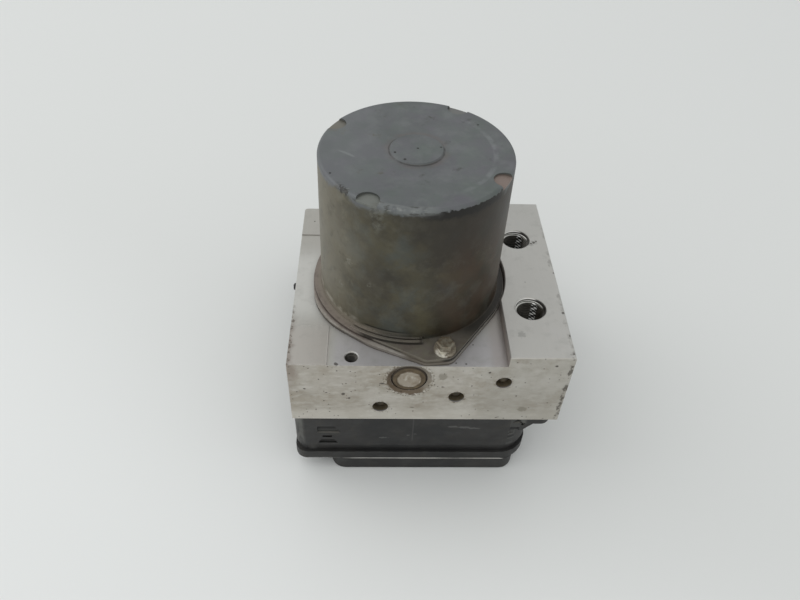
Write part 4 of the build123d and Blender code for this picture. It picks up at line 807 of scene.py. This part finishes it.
# Beyond the brown ring the plug's rim is painted dark, painted shade in the gap round it, and dirt with
# painted shade lies in its corners.
plug.lay((40, 31, 22), plug.between(from_centre, 6.1, 6.6), 0.85)
plug.lay((46, 36, 26), plug.shade_and_dirt(1.5), 0.7)
plug.raised(plug.clouds(size=1, level=0.5, soft=0.4, seed=2), 0.03)
plug.done(0.45, 0.46, "pump_plug_front", "pump_plug_rear", "accumulator_cap_front", "accumulator_cap_rear")

ball = Finish("ball_steel", (72, 63, 46))
ball.stain((50, 43, 31), size=1.6, level=0.48, soft=0.2)
# Dirt and painted shade round the ball.
ball.lay((42, 35, 26), ball.shade_and_dirt(2.5), 0.5)
ball.raised(ball.clouds(size=0.8, level=0.5, soft=0.4, seed=2), 0.03)
ball.done(0.35, 0.5, "seal_balls")

# %% [markdown]
# ## The control unit
# Housing and cover are black glass-filled plastic. It is never truly black: dust greys it, and
# anything that rubs past leaves a lighter scuff. Just under the lip, a thin pale line is painted on
# the tray's narrow shelf: a painted highlight where the lip's lower edge catches light from the floor.

# %% Finish of the housing and cover
tray_z = 7.8
plastic = Finish("black_plastic", (33, 32, 31))
plastic.stain((43, 42, 41), size=14, level=0.5, soft=0.2, seed=4)
plastic.stain((58, 59, 58), 0.35, size=4, level=0.56, soft=0.14, stretch=(0.4, 1, 1), seed=8)
plastic.stain((58, 54, 46), 0.3, size=6, level=0.6, soft=0.1, seed=19)
middle = plastic.where(x=(-26, -12, 30, 16))
plastic.stain((25, 26, 27), middle, 0.6, size=9, level=0.46, soft=0.14, seed=25)
rubs = plastic.specks(spacing=5, radius=0.1, share=0.3, ragged=0.5, stretch=(0.35, 1, 1), seed=5)
plastic.lay((104, 104, 101), rubs, 0.5)
front_rubs = plastic.marks(
    (19, -48.4, 30.5, 1), (23.5, -48.4, 30.2, 1.2), (28, -48.4, 29.6, 1), (-10, -48.4, 22.4, 0.8),
    keep=(0.4, 0.3, 1.6), ragged=0.5,
)
plastic.lay((98, 98, 96), front_rubs, 0.45)
mould_line = plastic.where(x=(1.9, 2.2, 2.7, 2.4), z=(19, 21))
plastic.lay((70, 70, 68), mould_line, 0.5)
# Painted highlight: a thin pale line just under the lip, where its lower edge catches light from the floor.
ledge_highlight = plastic.where(z=(tray_z - 0.35, tray_z - 0.2, tray_z + 0.3, tray_z + 0.1), y=(-48.9, -49.1))
plastic.stain((196, 194, 187), ledge_highlight, 0.9, size=16, level=0.42, soft=0.2, seed=3)
plastic.lay((84, 84, 82), plastic.edges(width=0.4, broken=0.48, size=3, seed=2), 0.5)
# Dirt and painted shade in the corners.
plastic.lay((18, 17, 16), plastic.shade_and_dirt(2.5), 0.6)
# The rounded left corner is painted lighter: dust, and a painted sheen where the corner catches the light.
corner_dust_and_sheen = plastic.where(facing_x=(-0.02, -0.35, -0.99, -0.9), y=(-38, -42), z=(16, 20))
plastic.stain((104, 104, 99), corner_dust_and_sheen, 0.55, size=3, level=0.45, soft=0.15, stretch=(1, 1, 0.4), seed=12)

# The two moulded pockets: dusty floors, painted shadow under their tops, painted highlights on their
# lower ledges, and painted dark lines over the window and in the slot for their shade.
by_latch = plastic.either(
    plastic.where(x=(-38.6, -38.1, -27.6, -28.2)), plastic.where(x=(43, 43.4, 47.6, 47.2))
)
by_latch = plastic.both(by_latch, plastic.where(z=(16.5, 17.5), y=(-47, -47.3)))
in_pocket = plastic.both(by_latch, plastic.where(y=(-48.3, -48.1)))
plastic.lay((60, 60, 58), in_pocket, plastic.where(facing_y=(-0.6, -0.9)), 0.8)
for top, depth in ((30.0, 0.95), (21.2, 0.5)):
    shadow_under_top = plastic.where(z=(top - 2.6, top - 2.3, top + 0.1, top))
    plastic.lay((10, 9, 8), in_pocket, shadow_under_top, depth)
lit_pocket_ledge = plastic.both(by_latch, plastic.where(facing_z=(0.6, 0.9)))
plastic.lay((112, 110, 104), lit_pocket_ledge, plastic.where(z=(22, 24)), 0.85)
painted_lintel_shadow = plastic.where(x=(-38, -37.7, -30.4, -30.8), z=(29.6, 29.8, 30.5, 30.3), y=(-48, -48.3))
plastic.lay((12, 11, 10), painted_lintel_shadow, 0.9)
slot_shadow = plastic.where(z=(22.3, 22.5, 24, 23.8))
plastic.lay((10, 9, 8), by_latch, slot_shadow, plastic.where(y=(-48.39, -48.3)), 0.95)
plastic.raised(plastic.clouds(size=0.6, level=0.5, soft=0.5, seed=1), 0.015)
plastic.done(0.0, 0.5, "ecu_housing", "ecu_cover", "vent_plug", specular=0.35)

# %% [markdown]
# ## The pieces inside
# Nothing inside shows while the module is whole, but the pieces are there and a cut-away or a
# repair view may show them. Most differ only in colour and gloss, so one loop makes them: two
# close colours in soft patches, and a fine grain.

# %% Finishes of the inner pieces
ends_of_axis = ("front", "rear")
valve_parts = [
    f"{kind}_{part}_{number}"
    for kind in ("inlet", "outlet") for part in ("valve", "plunger") for number in range(1, 5)
]
bearing_parts = [f"front_bearing_{part}" for part in ("inner_ring", "outer_ring", "balls")]
bearing_parts += ["eccentric_ring", "eccentric_rollers", "motor_shaft"]
rubber_parts = ["ecu_seal", "motor_seal"] + [f"accumulator_seal_{end}" for end in ends_of_axis]
pump_parts = [f"pump_{part}_{end}" for part in ("piston", "sleeve") for end in ends_of_axis]
store_pistons = [f"accumulator_piston_{end}" for end in ends_of_axis]
springs = [f"{part}_spring_{end}" for part in ("pump", "accumulator") for end in ends_of_axis]

# Each finish: its colour, the colour of its patches, how metallic, how rough, and its pieces.
inner = {
    "inner_plastic": ((46, 44, 40), (58, 55, 50), 0.0, 0.55, ["brush_holder"]),
    "seal_rubber": ((26, 26, 26), (36, 36, 35), 0.0, 0.75, rubber_parts),
    "bearing_steel": ((176, 176, 178), (158, 158, 160), 1.0, 0.22, bearing_parts),
    "bush_bronze": ((164, 128, 78), (142, 108, 62), 1.0, 0.5, ["rear_bush"]),
    "copper": ((186, 112, 74), (160, 92, 58), 1.0, 0.38, ["commutator", "armature_windings"]),
    "core_steel": ((118, 118, 120), (100, 100, 102), 0.9, 0.45, ["armature_core"]),
    "magnet_ferrite": ((54, 54, 57), (66, 66, 69), 0.1, 0.6, ["magnets"]),
    "brush_carbon": ((40, 40, 40), (52, 52, 52), 0.2, 0.55, ["brushes"]),
    "pin_metal": ((196, 186, 150), (176, 164, 128), 1.0, 0.32, ["connector_pins", "motor_contacts"]),
    "pump_steel": ((168, 168, 170), (150, 150, 152), 1.0, 0.3, pump_parts),
    "piston_aluminium": ((180, 180, 178), (164, 164, 162), 0.9, 0.38, store_pistons),
    "spring_steel": ((128, 128, 132), (108, 108, 112), 1.0, 0.35, springs),
    "valve_steel": ((158, 158, 160), (140, 140, 142), 1.0, 0.32, valve_parts),
    "coil_black": ((30, 30, 33), (40, 40, 43), 0.0, 0.3, ["valve_coils"]),
    "board_green": ((30, 82, 52), (24, 66, 42), 0.0, 0.4, ["ecu_board"]),
}
for name, (colour, patches, metallic, roughness, worn_by) in inner.items():
    finish = Finish(name, colour)
    finish.stain(patches, size=6, level=0.5, soft=0.25)
    finish.raised(finish.clouds(size=1.5, level=0.5, soft=0.4, seed=5), 0.015)
    finish.done(metallic, roughness, *worn_by)

# %% [markdown]
# ## Threads
# Every port and bracket hole is tapped. The solids have plain holes at the thread's outside
# radius, and the thread is a ridge that winds along the wall. It could be bump, but the ports
# are wide open to the light and the ridges catch it, so here it is a real helix: one
# four-cornered section carried round the hole, tapering to nothing at both ends.

# %% Build a thread
segments_per_turn = 40
# The ridge fades over this many turns at both ends, down to this share of its height.
thread_lead, thinnest = 0.75, 0.03
# How far its foot reaches into the wall, in millimetres.
in_wall = 0.02
# Shares of the pitch: how deep the ridge is, and half its width at the wall and at the crest.
ridge_depth, half_foot, half_crest = 0.61, 0.46, 0.08


def thread(name, mouth, inward, radius, pitch, length, finish):
    """An inside thread that winds inward from its mouth. The radius is the outside one."""
    inward = Vector(inward)
    across = inward.orthogonal().normalized()
    beside = inward.cross(across)
    depth = ridge_depth * pitch
    turns = length / pitch
    count = int(turns * segments_per_turn)
    maker = bmesh.new()
    rings = []
    for number in range(count + 1):
        turn = number / segments_per_turn
        fade = max(thinnest, min(1.0, turn / thread_lead, (turns - turn) / thread_lead))
        way = across * cos(2 * pi * turn) + beside * sin(2 * pi * turn)
        ridge = radius - depth * fade
        foot, crest = half_foot * pitch * fade, half_crest * pitch * fade
        section = [(radius + in_wall, -foot), (ridge, -crest), (ridge, crest), (radius + in_wall, foot)]
        along = turn * pitch
        ring = [
            maker.verts.new((Vector(mouth) + inward * (along + slide) + way * out_by) * MM)
            for out_by, slide in section
        ]
        rings.append(ring)
    for before, after in zip(rings, rings[1:]):
        for corner in range(4):
            following = (corner + 1) % 4
            maker.faces.new((before[corner], before[following], after[following], after[corner]))
    maker.faces.new(rings[0])
    maker.faces.new(reversed(rings[-1]))
    bmesh.ops.recalc_face_normals(maker, faces=maker.faces)
    maker.normal_update()
    mesh = bpy.data.meshes.new(name)
    maker.to_mesh(mesh)
    maker.free()
    mesh.materials.append(finish)
    piece = bpy.data.objects.new(name, mesh)
    bpy.context.scene.collection.objects.link(piece)
    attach(piece, "root")
    return piece


# %% [markdown]
# Oil and dirt have blackened the threads. The first turns on the far side are painted bright, a
# painted highlight, and the right side of each port, which faces the light, is painted lighter. In one
# strip of each port the wall is painted dark, painted shade, and its crests carry painted glints. From
# the camera a turn is hardly wider than a pixel, so the glints on the crests are painted as slanting
# stripes that are coarser than the turns.

# %% Finish of the threads
metal = Finish("cut_thread", (66, 62, 54))
metal.stain((42, 39, 33), size=3, level=0.5, soft=0.2)
half_x_and_z = {0: metal.x, 1: 0.5, 2: metal.z}
slanting = add(metal.tree, "Math", half_x_and_z, operation="MULTIPLY_ADD").outputs[0]
stripes = maths(metal.tree, "PINGPONG", slanting, 0.75, clamp=False)
glint = metal.between(stripes, 0.34, 0.5)
for along, deep in port_places:
    from_port = metal.from_upright(along, deep)
    # The first turns on the far side are painted bright: a painted highlight.
    lit_first_turns = metal.both(metal.between(from_port, 5.95, 5.75), metal.where(z=(72.6, 73.2)))
    far_left = metal.from_upright(along - 1, deep + 5.5)
    metal.lay((236, 235, 228), lit_first_turns, metal.between(far_left, 8.2, 6.6), 0.85)
    crest = metal.both(
        metal.between(from_port, 5.9, 5.7), metal.clouds(size=1.1, level=0.34, soft=0.08, seed=3)
    )
    # The right side of the port faces the light and is painted lighter on its crests: painted light.
    lit_right_side = metal.from_upright(along + 7, deep + 0.4)
    on_crest = metal.between(from_port, 5.6, 5.45)
    metal.lay((110, 106, 98), on_crest, metal.between(lit_right_side, 4.6, 3.4), 0.5)
    # In this strip the wall below the mouth is painted dark, painted shade, and the next line paints the
    # glints on its crests.
    glint_strip = metal.between(metal.from_upright(along + 3, deep + 4.8), 1.6, 0.9)
    metal.lay((20, 19, 17), glint_strip, metal.where(z=(73, 72.4)), 0.9)
    metal.lay((242, 242, 237), crest, glint_strip, glint, 0.95)
metal.raised(metal.clouds(size=1, level=0.5, soft=0.4), 0.01)
metal.done(0.35, 0.3)

# %% Thread every tapped hole
thread_margin = 0.4
# The pitch that goes with each outside radius, in millimetres.
pitches = {6.0: 1.0, 5.0: 1.0, 3.0: 1.0, 2.5: 0.8}
for mount in frame["record"]["mounts"]:
    if mount["kind"] != "threaded_hole":
        continue
    out_of = Vector(mount["axis"])
    radius = mount["dims"]["r_mm"]
    length = mount["dims"]["length_mm"]
    mouth = Vector(mount["pos_m"]) / MM + out_of * (length / 2 - thread_margin)
    name, inner_length = mount["name"] + "_thread", length - 2 * thread_margin
    piece = thread(name, mouth, -out_of, radius, pitches[radius], inner_length, metal.material)
    print(piece.name, len(piece.data.polygons), "faces")
